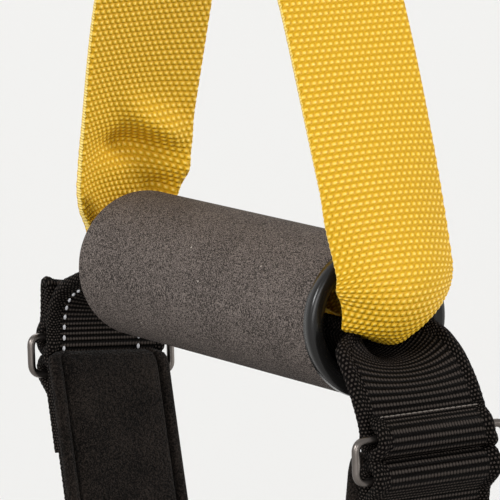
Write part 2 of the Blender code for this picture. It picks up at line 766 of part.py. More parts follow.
def ring_profile():
    """Ring's outline of (x, radius) points: spigot, flared mouth and round lip."""
    spigot_end = RING_BACK - SPIGOT_LENGTH
    spigot_outer = BORE_RADIUS + SPIGOT_WALL
    points = [(spigot_end, spigot_outer), (spigot_end, BORE_RADIUS)]
    for turn in (0, 30, 60, 90):
        lean = math.radians(turn)
        points.append((
            HALF_GRIP - MOUTH_FLARE * (1 - math.sin(lean)),
            BORE_RADIUS + MOUTH_FLARE * (1 - math.cos(lean)),
        ))
    for turn in (0, 45, 90):
        lean = math.radians(turn)
        points.append((
            HALF_GRIP - RING_LIP * (1 - math.cos(lean)),
            RING_RADIUS - RING_LIP * (1 - math.sin(lean)),
        ))
    points.append((RING_BACK, RING_RADIUS))
    points.append((RING_BACK, spigot_outer))
    return points


def cradle_leg(bar_drop):
    """Straight run of the pad strap from its lower bend to the level of a ring's lower bar."""
    lean = math.radians(CRADLE_LEAN)
    bend_top = CRADLE_DEPTH - CRADLE_RADIUS * (1 - math.sin(lean))
    rise = bend_top - bar_drop - RING_PITCH + CRADLE_WRAP * math.sin(lean)
    return rise / math.cos(lean)


def bar_x(bar_drop):
    """Distance of a cradle ring from the middle of the grip."""
    lean = math.radians(CRADLE_LEAN)
    reach = (CRADLE_RADIUS + CRADLE_WRAP) * math.cos(lean)
    return reach + cradle_leg(bar_drop) * math.sin(lean)


def cradle_side(bar_drop, bend, tail):
    """Stations from the middle of the bore to the end of a tail folded round its bar."""
    end_x = bar_x(bar_drop) - CRADLE_WRAP
    main = Route(0, GRIP_Z - CRADLE_BORE_DROP, 0)
    main.line(HALF_GRIP - OPEN_BEFORE_MOUTH, 2)
    open_start = main.length
    main.line(end_x - bend - main.length, 3)
    main.arc(bend, -90, 10)
    main.line(main.z - (GRIP_Z - bar_drop), 3)
    open_length = main.length - OPEN_CLEAR_BAR - open_start

    def curl_at(distance):
        return opening_curl(distance, open_start, open_length, 1 / CRADLE_BORE_CURL)

    stations = [
        (x, z, heading, curl_at(distance))
        for (x, z, heading), distance in zip(main.stations, main.travelled)
    ]
    rise, slant = tail_rise(CRADLE_WRAP, WRAP_EASE, WRAP_HOLD_ANGLE, LAYER_BLACK)
    fold = Route(0, 0, 0)
    fold.arc(CRADLE_WRAP, 180 + WRAP_HOLD_ANGLE).line(slant, 2)
    fold.arc(WRAP_EASE, -WRAP_HOLD_ANGLE).line(tail, 4)
    for along, off, turn in fold.stations[1:]:
        x, z, heading = main.at(main.length + along)
        curl = curl_at(main.length + along)
        stations.append((
            x - math.sin(heading) * off, z + math.cos(heading) * off,
            heading + turn, -curl / (1 - curl * off),
        ))
    return stations


def cradle_webbing(material, parent):
    """Black webbing through the grip, folded round a ring at each end."""
    near = cradle_side(NEAR_BAR_DROP, NEAR_BEND, NEAR_TAIL)
    far = cradle_side(FAR_BAR_DROP, FAR_BEND, FAR_TAIL)
    place("cradle_webbing", strip_mesh(
        "cradle_webbing", mirrored(far)[:-1] + near, WEB_WIDTH, BLACK_THICKNESS, WEB_COLUMNS,
    ), material, parent)


def cradle_ring(name, side, bar_drop, material, parent):
    """Rectangular ring that joins the webbing to the pad strap."""
    x = side * bar_x(bar_drop)
    top, bottom = GRIP_Z - bar_drop, GRIP_Z - bar_drop - RING_PITCH
    half = WEB_WIDTH / 2 + EDGE_GAP + RING_ROD_RADIUS
    centres = []
    for corner_y, corner_z, start in (
        (half - RING_CORNER, top - RING_CORNER, 0), (RING_CORNER - half, top - RING_CORNER, 90),
        (RING_CORNER - half, bottom + RING_CORNER, 180), (half - RING_CORNER, bottom + RING_CORNER, 270),
    ):
        centres += [
            point + Vector((x, 0, 0))
            for point in arc_points((corner_y, corner_z), RING_CORNER, start, start + 90, 30)
        ]
    place(name, tube_mesh(
        name, centres, Vector((1, 0, 0)), RING_ROD_RADIUS, 8, closed=True,
    ), material, parent)


def pad_side(bar_drop):
    """Route of the pad strap from its lowest point to the level of a ring's lower bar."""
    route = Route(0, CRADLE_Z, 0)
    route.arc(CRADLE_RADIUS, 90 - CRADLE_LEAN, 6)
    return route.line(cradle_leg(bar_drop))


def pad_strap_side(bar_drop):
    """Stations from the lowest point to the end of the tail outside the lower bar."""
    main = pad_side(bar_drop)
    stations = flat(main)
    rise, slant = tail_rise(CRADLE_WRAP, WRAP_EASE, WRAP_HOLD_ANGLE, LAYER_BLACK)
    fold = Route(0, 0, 0)
    fold.arc(CRADLE_WRAP, -180 - WRAP_HOLD_ANGLE).line(slant)
    fold.arc(WRAP_EASE, WRAP_HOLD_ANGLE).line(PAD_STRAP_TAIL, 4)
    for along, off, turn in fold.stations[1:]:
        x, z, heading = main.at(main.length + along)
        stations.append((
            x - math.sin(heading) * off, z + math.cos(heading) * off, heading + turn, 0.0,
        ))
    return stations


def pad_strap(material, parent):
    """Webbing under the foot pad, folded round both rings' lower bars."""
    near, far = pad_strap_side(NEAR_BAR_DROP), pad_strap_side(FAR_BAR_DROP)
    place("pad_strap", strip_mesh(
        "pad_strap", mirrored(far)[:-1] + near, WEB_WIDTH, BLACK_THICKNESS,
    ), material, parent)


def cradle_pad(material, parent):
    """Foot pad inside the strap: crowned across, drawn in at its sides and ends."""
    shares = ((-1, 0.5), (-0.97, 0.78), (-0.8, 0.92), (-0.4, 1), (0, 1), (0.4, 1), (0.8, 0.92),
              (0.97, 0.78), (1, 0.5), (0.95, 0), (0, 0), (-0.95, 0))
    seat = BLACK_THICKNESS / 2 + TOUCH_GAP
    near, far = pad_side(NEAR_BAR_DROP), pad_side(FAR_BAR_DROP)
    low, high = -far.length - PAD_RISE, near.length + PAD_RISE
    points, faces = [], []
    ring = len(shares)
    for part in range(PAD_PARTS + 1):
        distance = low + (high - low) * part / PAD_PARTS
        x, z, heading = (near if distance > 0 else far).at(abs(distance))
        if distance < 0:
            x, heading = -x, -heading
        from_end = (high - low) * min(part, PAD_PARTS - part) / PAD_PARTS
        ease = min(from_end / PAD_END_TAPER, 1.0)
        full = PAD_EDGE_THICKNESS + (PAD_THICKNESS - PAD_EDGE_THICKNESS) * math.sqrt(ease)
        for across_share, height_share in shares:
            lift = seat + full * height_share
            points.append((
                x - lift * math.sin(heading), across_share * PAD_WIDTH / 2,
                z + lift * math.cos(heading),
            ))
    for part in range(PAD_PARTS):
        first, second = part * ring, (part + 1) * ring
        for step in range(ring):
            after = (step + 1) % ring
            faces.append((first + step, first + after, second + after, second + step))
    faces.append(tuple(range(ring)))
    faces.append(tuple(range(PAD_PARTS * ring, (PAD_PARTS + 1) * ring)))
    place("cradle_pad", mesh_from("cradle_pad", points, faces), material, parent)


def foot_cradle(webbing, metal, felt):
    """Everything that swings under the grip."""
    hinge = joint_empty("cradle_axis", (0, 0, GRIP_Z))
    cradle_webbing(webbing, hinge)
    cradle_ring("cradle_ring_near", 1, NEAR_BAR_DROP, metal, hinge)
    cradle_ring("cradle_ring_far", -1, FAR_BAR_DROP, metal, hinge)
    pad_strap(webbing, hinge)
    cradle_pad(felt, hinge)


def build():
    """Make every piece."""
    clear_scene()
    yellow = make_material("yellow_webbing", (0.82, 0.46, 0.02), 0.55)
    black = make_material("black_webbing", (0.02, 0.018, 0.017), 0.7)
    foam = make_material("grip_foam", (0.085, 0.068, 0.062), 0.95)
    plastic = make_material("black_plastic", (0.012, 0.012, 0.012), 0.3)
    steel = make_material("dark_steel", (0.25, 0.25, 0.25), 0.35, 1.0)
    bright = make_material("plated_steel", (0.6, 0.6, 0.6), 0.3, 1.0)
    felt = make_material("pad_felt", (0.03, 0.025, 0.022), 1.0)
    carabiner_body(steel)
    carabiner_gate(steel, bright)
    anchor_loop(black)
    upper_strap(black)
    buckle_frame(steel)
    cam_lever(steel, bright, bright)
    lower_strap(yellow)
    adjuster_tab(black)
    junction_patch(black)
    handle_webbing(yellow)
    grip(foam, plastic, plastic)
    foot_cradle(black, steel, felt)


build()
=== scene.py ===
"""Suspension trainer strap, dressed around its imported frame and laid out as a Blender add-on."""
import math

import bmesh
import bpy
import numpy as np
from bpy.props import FloatProperty, FloatVectorProperty, PointerProperty
from mathutils import Matrix, Vector


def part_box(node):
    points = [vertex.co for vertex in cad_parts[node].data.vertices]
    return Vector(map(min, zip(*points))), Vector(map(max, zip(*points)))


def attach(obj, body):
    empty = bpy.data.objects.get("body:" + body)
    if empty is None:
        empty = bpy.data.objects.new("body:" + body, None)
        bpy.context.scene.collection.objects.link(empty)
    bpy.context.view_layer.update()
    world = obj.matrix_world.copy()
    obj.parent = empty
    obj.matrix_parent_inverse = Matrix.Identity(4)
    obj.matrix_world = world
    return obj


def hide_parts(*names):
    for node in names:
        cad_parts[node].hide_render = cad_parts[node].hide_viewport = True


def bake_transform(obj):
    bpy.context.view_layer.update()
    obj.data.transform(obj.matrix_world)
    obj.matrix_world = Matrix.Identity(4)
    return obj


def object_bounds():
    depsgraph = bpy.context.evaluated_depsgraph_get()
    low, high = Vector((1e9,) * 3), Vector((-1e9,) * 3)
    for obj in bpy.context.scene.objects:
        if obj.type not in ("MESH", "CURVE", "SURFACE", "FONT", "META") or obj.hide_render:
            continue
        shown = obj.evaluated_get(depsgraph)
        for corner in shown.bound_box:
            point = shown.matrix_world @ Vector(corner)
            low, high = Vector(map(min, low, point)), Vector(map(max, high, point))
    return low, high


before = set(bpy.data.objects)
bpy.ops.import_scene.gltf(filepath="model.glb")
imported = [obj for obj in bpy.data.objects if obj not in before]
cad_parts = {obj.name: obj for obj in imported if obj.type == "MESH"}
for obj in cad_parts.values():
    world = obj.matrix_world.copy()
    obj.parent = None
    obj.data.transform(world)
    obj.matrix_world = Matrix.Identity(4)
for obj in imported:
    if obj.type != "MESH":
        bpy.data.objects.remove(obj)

bl_info = {
    "name": "Suspension trainer strap",
    "version": (1, 0, 0),
    "blender": (4, 5, 0),
    "location": "3D View > Sidebar > Trainer",
    "description": "Builds the finished surfaces of a hanging suspension trainer strap",
    "category": "Object",
}

CAD_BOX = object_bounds()

# Sizes and places read from the frame
RING_LOW, RING_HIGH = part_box("end_ring_near")
FOAM_LOW, FOAM_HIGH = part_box("grip_foam")
TUBE_LOW, TUBE_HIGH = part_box("grip_tube")
LOWER_LOW, LOWER_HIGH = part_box("lower_strap")
UPPER_LOW, UPPER_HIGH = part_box("upper_strap")
LOOP_LOW, LOOP_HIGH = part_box("anchor_loop")
HANDLE_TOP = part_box("handle_webbing")[1].z
NEAR_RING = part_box("cradle_ring_near")
FAR_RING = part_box("cradle_ring_far")

GRIP_Z = (RING_LOW.z + RING_HIGH.z) / 2
HALF_GRIP = RING_HIGH.x
WEB_WIDTH = LOWER_HIGH.y - LOWER_LOW.y
HALF_WIDTH = WEB_WIDTH / 2
TOUCH_GAP = 0.00035
CHAMFER = 0.0004
ROUND_TURN = 2 * math.pi
TURNED_SIDES = 128
ROD_SIDES = 20
WEAVE_MAP = "Weave"

# Distance from the middle at which the bore ends and a mouth begins
MOUTH = HALF_GRIP - 0.005

# Curl below which a band counts as flat
STRAIGHT = 1e-6

# Length of a bead on an edge cord, as a share of its width
BEAD_LENGTH = 0.8

# Specks on the foam: cells in a metre, and colour
SPECK_CELLS = 210.0
SPECK_COLOUR = (0.62, 0.56, 0.50)

# Colour, roughness and share of bare metal of each steel, and the colour of each thread
STEELS = {
    "Ring steel": ((0.13, 0.115, 0.105), 0.34, 1.0),
    "Dark steel": ((0.05, 0.05, 0.052), 0.34, 0.7),
    "Plated steel": ((0.55, 0.55, 0.56), 0.28, 1.0),
}
THREADS = {"Pale thread": (0.62, 0.62, 0.64), "Brown thread": (0.17, 0.145, 0.125)}

# Distances between stations on plain straps, on ribbed webbing, and where nothing is seen
PLAIN_STEP = 0.0012
RIBBED_STEP = 0.0005
UNSEEN_STEP = 0.004

# Sewn ends of the straps, and the bar that the upper strap is sewn round
HEM_LENGTH = 0.026
BUCKLE_BAR = 0.0022
BUCKLE_TAIL = 0.018
PAD_STRAP_TAIL = 0.016

# Place across of each row of stitches at the far end, and their start and end from its bar
ROW_PLACES = (-0.0142, 0.0098)
ROW_ENDS = (-0.019, 0.0015)

# How far past their bars the near hem starts and ends to narrow, and the far hem has turned
HEM_NARROWS = (0.007, 0.011)
HEM_TURN = 0.006

# Gap behind an end ring's flange, wall of its spigot, and sizes of a cradle ring and the pad
FLANGE_GAP = 0.0006
RING_WALL = 0.0011
RING_CORNER = 0.0030
PAD_TAPER = 0.006

# The cradle's webbing runs from the bore and twists down to its rings; a piece given this body is
# baked in place, on no body
TWISTING = "lower to cradle"

# Creases across the far leg: height, middle up the leg, lean of that middle, and width
FAR_CREASES = (
    (0.0040, 0.1236, -0.50, 0.0052),
    (-0.0058, 0.1102, -0.20, 0.0060),
    (0.0028, 0.1068, 0.0, 0.0042),
    (-0.0024, 0.0990, 0.0, 0.0028),
)

# How the legs' left edges draw in: by how much, near leg 1 or far leg -1, and from and to where
DRAWN_EDGES = (
    (0.0010, -1, (0.070, 0.090), (0.170, 0.195)),
    (0.0042, -1, (0.038, 0.052), (0.086, 0.104)),
    (0.0012, -1, (0.086, 0.104), (0.110, 0.160)),
    (0.0026, 1, (0.064, 0.072), (0.078, 0.090)),
    (0.0008, 1, (0.088, 0.096), (0.100, 0.112)),
)

# Rise and fall, each from and to where, of the near leg's gather, bow, sink and tuck
LEG_GATHER = ((0.034, 0.050), (0.064, 0.076))
LEG_BOW = ((0.101, 0.118), (0.170, 0.195))
LEG_SINK = ((0.040, 0.056), (0.0715, 0.0845))
LEG_TUCK = ((0.034, 0.044), (0.046, 0.055))

# Rise and fall of the gather and of the bow at the near end of the cradle's webbing
NEAR_GATHER = ((0.034, 0.048), (0.064, 0.075))
NEAR_BOW = ((0.068, 0.077), (0.080, 0.094))

# Middle and width of the far leg's kink and of the cradle webbing's widest place
FAR_KINK = (0.0930, 0.0050)
NEAR_WIDE = (0.0765, 0.0040)

# How far the far end's right side hangs down, for each metre across, and where that starts
ASKEW = 0.085
FAR_TWIST = (0.070, 0.090)

# Name, side it shines from, height above the horizon, softness in degrees, and power
LAMPS = (
    ("left", 12, 27, 16, 1.90),
    ("right", 148, 4, 14, 2.25),
    ("front", 62, 3, 40, 2.00),
    ("back", 250, 56, 35, 1.20),
)


class Path:
    """Straight runs and arcs in the XZ plane, read at any distance along them."""

    def __init__(self, x, z, heading):
        self.runs = []
        self.length = 0.0
        self.end = (x, z, math.radians(heading))

    @staticmethod
    def _along(x, z, heading, bend, distance):
        if not bend:
            return x + math.cos(heading) * distance, z + math.sin(heading) * distance, heading
        turned = heading + bend * distance
        across = (math.sin(turned) - math.sin(heading)) / bend
        return x + across, z - (math.cos(turned) - math.cos(heading)) / bend, turned

    def _run(self, length, bend):
        self.runs.append((self.length, *self.end, bend))
        self.end = self._along(*self.end, bend, length)
        self.length += length
        return self

    def line(self, length):
        """Go straight."""
        return self._run(length, 0.0)

    def arc(self, radius, turn):
        """Turn by an angle in degrees, to the left when it is positive."""
        return self._run(radius * abs(math.radians(turn)), math.copysign(1 / radius, turn))

    def at(self, distance):
        """Place and heading at a distance, straight on past the end."""
        if distance > self.length:
            return self._along(*self.end, 0.0, distance - self.length)
        run = self.runs[0]
        for later in self.runs:
            if later[0] <= distance:
                run = later
        start, x, z, heading, bend = run
        return self._along(x, z, heading, bend, distance - start)


def eased(share):
    """Smooth step from 0 to 1."""
    share = min(max(share, 0.0), 1.0)
    return share * share * (3 - 2 * share)


def spaced(start, end, step):
    """Distances from start to end, about a step apart."""
    parts = max(1, math.ceil((end - start) / step))
    return [start + (end - start) * part / parts for part in range(parts + 1)]


def new_piece(name, mesh, material, body, slot, *nodes):
    """Put a finished mesh in the scene, on its body and in place of its nodes."""
    mesh.materials.clear()
    mesh.materials.append(material)
    piece = bpy.data.objects.new(name, mesh)
    bpy.context.scene.collection.objects.link(piece)
    if nodes:
        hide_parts(*nodes)
    if body == TWISTING:
        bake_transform(piece)
    else:
        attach(piece, body)
    return piece


def grid_mesh(name, points, uv, closed_along=False, end_faces=()):
    """Closed skin over rows of points that each go round a section, with its UV map in metres."""
    rows, ring = points.shape[:2]
    spans = rows if closed_along else rows - 1
    first = np.arange(spans)[:, None] * ring
    second = ((np.arange(spans)[:, None] + 1) % rows) * ring
    step = np.arange(ring)[None, :]
    after = (step + 1) % ring
    quads = np.stack([first + step, first + after, second + after, second + step], axis=-1)
    faces = [tuple(quad) for quad in quads.reshape(-1, 4).tolist()]
    if not closed_along:
        for start in (0, (rows - 1) * ring):
            faces += [tuple(start + index for index in face) for face in end_faces]
    mesh = bpy.data.meshes.new(name)
    mesh.from_pydata(points.reshape(-1, 3).tolist(), [], faces)
    shape = bmesh.new()
    shape.from_mesh(mesh)
    bmesh.ops.recalc_face_normals(shape, faces=shape.faces)
    shape.to_mesh(mesh)
    shape.free()
    layer = mesh.uv_layers.new(name=WEAVE_MAP)
    vertex_of_loop = np.empty(len(mesh.loops), dtype=np.int32)
    mesh.loops.foreach_get("vertex_index", vertex_of_loop)
    layer.data.foreach_set("uv", uv.reshape(-1, 2)[vertex_of_loop].astype(np.float32).ravel())
    mesh.shade_smooth()
    return mesh


def band_reaches(width, roll, step, rope):
    """Places across a band, closer together over its round edges."""
    half = width / 2
    radius = rope or roll
    edge = [half - radius * (1 - math.cos(math.radians(turn))) for turn in (0, 25, 50, 72, 90)]
    if rope:
        edge += spaced(half - rope, half - 2.4 * rope, -0.0004)[1:]
    inner = spaced(-edge[-1], edge[-1], step)[1:-1]
    return np.array([-reach for reach in edge] + inner + edge[::-1])


def band_half(reach, width, roll, rope):
    """Half thickness of a band at each reach, with a round cord along each edge if it has one."""
    over = np.clip((np.abs(reach) - (width / 2 - roll)) / roll, 0, 1)
    half = roll * np.sqrt(1 - over * over)
    if not rope:
        return half
    inside = width / 2 - rope
    off = (np.abs(reach) - inside) / rope
    flat = np.where(np.abs(reach) < inside, roll, 0.0)
    return np.maximum(flat, rope * np.sqrt(np.maximum(1 - off * off, 0.0)))


def band_mesh(name, stations, width, thickness, step, relief=None, rope=0.0, shift=None):
    """Webbing along stations of (x, z, heading, curl, distance), with round edges.

    relief gives a height for each distance and place across the cloth, rope is the radius of the
    cord along each edge, and shift moves each point by a vector from its distance and reach."""
    x, z, heading, curl, distance = (np.array(column)[:, None] for column in zip(*stations))
    roll = thickness / 2
    reach = band_reaches(width, roll, step, rope)
    half = band_half(reach, width, roll, rope)
    cloth = np.concatenate([[0], np.cumsum(np.hypot(np.diff(reach), np.diff(half)))])
    cloth = cloth - cloth[-1] / 2
    bend = np.where(np.abs(curl) < STRAIGHT, STRAIGHT, curl)
    turn = reach[None, :] * bend
    rise = (1 - np.cos(turn)) / bend
    side = np.sin(turn) / bend
    normal_x, normal_z = -np.sin(heading), np.cos(heading)
    height = relief(distance, cloth[None, :]) if relief else np.zeros(turn.shape)
    faces = []
    for sign in (1, -1):
        lift = sign * (half[None, :] + height * (half > 0)[None, :])
        out = rise + np.cos(turn) * lift
        faces.append(np.stack([
            x + normal_x * out, side - np.sin(turn) * lift, z + normal_z * out,
        ], axis=-1))
    if shift:
        moved = shift(distance, reach[None, :], normal_x, normal_z)
        faces = [face + moved for face in faces]
    points = np.concatenate([faces[0], faces[1][:, -2:0:-1]], axis=1)
    across = np.concatenate([cloth, cloth[-2:0:-1]])
    uv = np.stack([
        np.broadcast_to(across[None, :], points.shape[:2]),
        np.broadcast_to(distance, points.shape[:2]),
    ], axis=-1)
    count = len(reach)
    ring = points.shape[1]
    ends = [(0, 1, ring - 1)]
    ends += [(i, i + 1, ring - i - 1, ring - i) for i in range(1, count - 2)]
    ends.append((count - 2, count - 1, count))
    return grid_mesh(name, points, uv, end_faces=ends)


def band_piece(node, finish, body, slot, stations, width, thickness, step, **shape):
    """Webbing along stations, in place of a node."""
    name = node + "_cloth"
    mesh = band_mesh(name, stations, width, thickness, step, **shape)
    return new_piece(name, mesh, finish, body, slot, node)


def smooth_step(value, low, high):
    """Smooth step from 0 at low to 1 at high, for arrays."""
    share = np.clip((value - low) / (high - low), 0.0, 1.0)
    return share * share * (3 - 2 * share)


def window(value, rise, fall):
    """1 between a rise and a fall, each given by its start and end, for arrays."""
    return smooth_step(value, *rise) * (1 - smooth_step(value, *fall))


def mound(value, centre, width):
    """Bell curve round a centre, for arrays."""
    return np.exp(-((value - centre) / width) ** 2)


def left_share(reach):
    """0 from a little right of the middle, rising to 1 at the left edge, for arrays."""
    return np.clip((0.005 - reach) / 0.024, 0.0, 1.0)


def vectors(x, y, z):
    """Vectors from their three parts, for arrays."""
    return np.stack(np.broadcast_arrays(x, y, z), axis=-1)


def askew(reach, share):
    """How far the far end's right side hangs below its left side."""
    return ASKEW * (reach + HALF_WIDTH) * share


def bead_field(across, along, wide, long, slant, stagger):
    """Rounded crossings of a weave as the materials draw them, for arrays."""
    row = np.floor(along / long)
    down = along / long - row - 0.5
    over = across / wide + (row % 2) * stagger + down * slant
    over = over - np.floor(over) - 0.5
    return np.cos(over * np.pi) * np.cos(down * np.pi)


def cord_zone(settings):
    """Places across the black webbing between which its face gives way to the edge cord."""
    return HALF_WIDTH - 2.8 * settings.rope, HALF_WIDTH - 2.5 * settings.rope


def ribbed(settings):
    """Relief of the black webbing: cross ribs, and beads along its edge cords."""
    def relief(distance, reach):
        edge = smooth_step(np.abs(reach), *cord_zone(settings))
        down = distance / settings.rib_pitch
        ridge = np.cos((down - np.floor(down) - 0.5) * np.pi)
        ribs = bead_field(reach, distance, settings.rib_bead, settings.rib_pitch, 0.0, 0.0)
        beads = bead_field(
            reach, distance, settings.rope_bead, settings.rope_bead * BEAD_LENGTH, 0.0, 0.5)
        face = 0.6 * ridge + 0.4 * ribs
        return settings.rib_relief * (face * (1 - edge) + 1.5 * beads * edge)

    return relief


def leg_folds(settings):
    """Shift of the yellow webbing: creases of the far leg, and both legs gathered at the mouths."""
    def folds(distance, reach, normal_x, normal_z):
        far = -distance
        left = left_share(reach)
        right = np.clip((reach - 0.002) / 0.017, 0.0, 1.0)
        spreads = (
            smooth_step(reach, -0.010, 0.008) * (1 - 0.65 * smooth_step(reach, 0.011, 0.019)),
            mound(reach, 0.001, 0.0115),
            smooth_step(reach, -0.014, 0.004),
            mound(reach, 0.0128, 0.0048),
        )
        lift = 0.0
        for spread, (height, middle, lean, width) in zip(spreads, FAR_CREASES):
            lift = lift + height * spread * mound(far, middle + lean * reach, width)
        side = 0.0
        for shift, leg, rise, fall in DRAWN_EDGES:
            side = side + shift * left * window(leg * distance, rise, fall)
        gathered = window(distance, *LEG_GATHER)
        side = side + gathered * (0.0006 + 0.0092 * left ** 0.7)
        # The far leg's kink and the near leg's slow bow
        side = side - 0.0014 * right * mound(far, *FAR_KINK)
        side = side + 0.0013 * (1 - smooth_step(reach, -0.015, 0.019)) * window(distance, *LEG_BOW)
        # Each row of the weave ends in a small bead
        beads = np.abs(np.cos(np.pi * distance / settings.cell_along))
        side = side + 0.00024 * np.sign(reach) * beads * smooth_step(
            np.abs(reach), HALF_WIDTH - 0.001, HALF_WIDTH)
        # The left side sinks in the near mouth and under its fold
        drop = 0.0074 * left ** 3 * window(distance, *LEG_SINK)
        drop = drop + (0.0006 + 0.0040 * left) * window(distance, *LEG_TUCK)
        return vectors(normal_x * lift, side, normal_z * lift - drop)

    return folds


def mirrored(station):
    """The same station on the far side."""
    x, z, heading, curl, distance = station
    return -x, z, -heading, curl, -distance


def both_halves(far, near):
    """Stations from the far end to the near end, from two halves that start in the middle."""
    return [mirrored(station) for station in reversed(far)] + near[1:]


def band_point(station, reach, lift):
    """Point at a reach across a band and a lift off its middle surface."""
    x, z, heading, curl, _ = station
    turn = reach * curl
    rise = (1 - math.cos(turn)) / curl if abs(curl) > STRAIGHT else 0.0
    side = math.sin(turn) / curl if abs(curl) > STRAIGHT else reach
    out = rise + math.cos(turn) * lift
    return Vector((
        x - math.sin(heading) * out, side - math.sin(turn) * lift, z + math.cos(heading) * out,
    ))


def plain_stations(path):
    """Uncurled stations along a whole path."""
    return [
        (*path.at(distance), 0.0, distance) for distance in spaced(0, path.length, PLAIN_STEP)]


def shade(mesh, angle):
    """Shade a mesh smooth, but for edges sharper than an angle in degrees."""
    mesh.shade_smooth()
    mesh.set_sharp_from_angle(angle=math.radians(angle))


def arc_points(x, radius, along, out, start, end, step):
    """Points of an ellipse round a centre, between two angles in degrees."""
    turns = [math.radians(turn) for turn in spaced(start, end, step)]
    return [(x + along * math.cos(turn), radius + out * math.sin(turn)) for turn in turns]


def turned_mesh(name, profile):
    """Closed profile of (x, radius) points turned about the grip's axis."""
    profile = np.array(profile)
    turn = np.arange(TURNED_SIDES)[:, None] * ROUND_TURN / TURNED_SIDES
    along = np.broadcast_to(profile[None, :, 0], (TURNED_SIDES, len(profile)))
    radius = profile[None, :, 1]
    points = vectors(along, radius * np.cos(turn), GRIP_Z + radius * np.sin(turn))
    uv = np.stack([along, np.broadcast_to(turn, along.shape)], axis=-1)
    mesh = grid_mesh(name, points, uv, closed_along=True)
    shade(mesh, 50)
    return mesh


def rounded(points, radius, parts=8):
    """Closed outline with each corner replaced by an arc of about a radius."""
    out = []
    for index, corner in enumerate(points):
        before, after = Vector(points[index - 1]), Vector(points[(index + 1) % len(points)])
        corner = Vector(corner)
        cut = min(radius, (before - corner).length / 2, (after - corner).length / 2)
        start = corner + (before - corner).normalized() * cut
        end = corner + (after - corner).normalized() * cut
        for share in (part / parts for part in range(parts + 1)):
            out.append(
                start * (1 - share) ** 2 + corner * 2 * share * (1 - share) + end * share ** 2)
    return out


def merged_copy(name, node, dissolve=True):
    """Copy of a CAD node's mesh with its corners merged and its flat faces whole."""
    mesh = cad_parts[node].data.copy()
    mesh.name = name
    shape = bmesh.new()
    shape.from_mesh(mesh)
    bmesh.ops.remove_doubles(shape, verts=shape.verts, dist=0.00002)
    if dissolve:
        bmesh.ops.dissolve_limit(
            shape, angle_limit=math.radians(1), verts=shape.verts, edges=shape.edges)
    shape.to_mesh(mesh)
    shape.free()
    return mesh


def shaped(piece):
    """Plain mesh of an object with its modifiers applied."""
    depsgraph = bpy.context.evaluated_depsgraph_get()
    return bpy.data.meshes.new_from_object(piece.evaluated_get(depsgraph))


def softened(piece, width, angle=35):
    """Round a piece's sharp edges and shade it smooth between them."""
    bevel = piece.modifiers.new("Worn edges", "BEVEL")
    bevel.width = width
    bevel.segments = 2
    bevel.limit_method = "ANGLE"
    bevel.angle_limit = math.radians(angle)
    bevel.harden_normals = False
    mesh = shaped(piece)
    piece.modifiers.clear()
    piece.data = mesh
    shade(mesh, angle)


class Val:
    """A shader socket that Python's own operators can work on."""

    def __init__(self, tree, socket):
        self.tree, self.socket = tree, socket

    def _math(self, operation, *values):
        return add_node(
            self.tree, "ShaderNodeMath", {"operation": operation}, dict(enumerate(values)))

    def __add__(self, other):
        return self._math("ADD", self, other)

    __radd__ = __add__

    def __sub__(self, other):
        return self._math("SUBTRACT", self, other)

    def __rsub__(self, other):
        return self._math("SUBTRACT", other, self)

    def __mul__(self, other):
        return self._math("MULTIPLY", self, other)

    __rmul__ = __mul__

    def __truediv__(self, other):
        return self._math("DIVIDE", self, other)

    def __rtruediv__(self, other):
        return self._math("DIVIDE", other, self)

    def __abs__(self):
        return self._math("ABSOLUTE", self)

    def floor(self):
        """Whole number below."""
        return self._math("FLOOR", self)

    def fraction(self):
        """Part after the whole number."""
        return self._math("FRACT", self)

    def cosine(self):
        """Cosine of an angle in radians."""
        return self._math("COSINE", self)

    def above(self, other):
        """1 where this is more than the other value, else 0."""
        return self._math("GREATER_THAN", self, other)

    def most(self, other):
        """The larger of two values."""
        return self._math("MAXIMUM", self, other)

    def eased(self, low, high):
        """Smooth step from 0 at low to 1 at high."""
        return add_node(
            self.tree, "ShaderNodeMapRange", {"interpolation_type": "SMOOTHSTEP"},
            {"Value": self, "From Min": low, "From Max": high})


def put(tree, socket, value):
    """Link a value to a socket, or set the socket to a constant."""
    if isinstance(value, Val):
        tree.links.new(value.socket, socket)
    elif isinstance(value, (tuple, list)) and len(value) == 3 and len(socket.default_value) == 4:
        socket.default_value = (*value, 1.0)
    else:
        socket.default_value = value


def add_node(tree, kind, settings, sockets, output=0):
    """Add a node, set its settings, then its sockets by name or number, and return an output."""
    node = tree.nodes.new(kind)
    for key, value in settings.items():
        setattr(node, key, value)
    for key, value in sockets.items():
        put(tree, node.inputs[key], value)
    return Val(tree, node.outputs[output]) if node.outputs else None


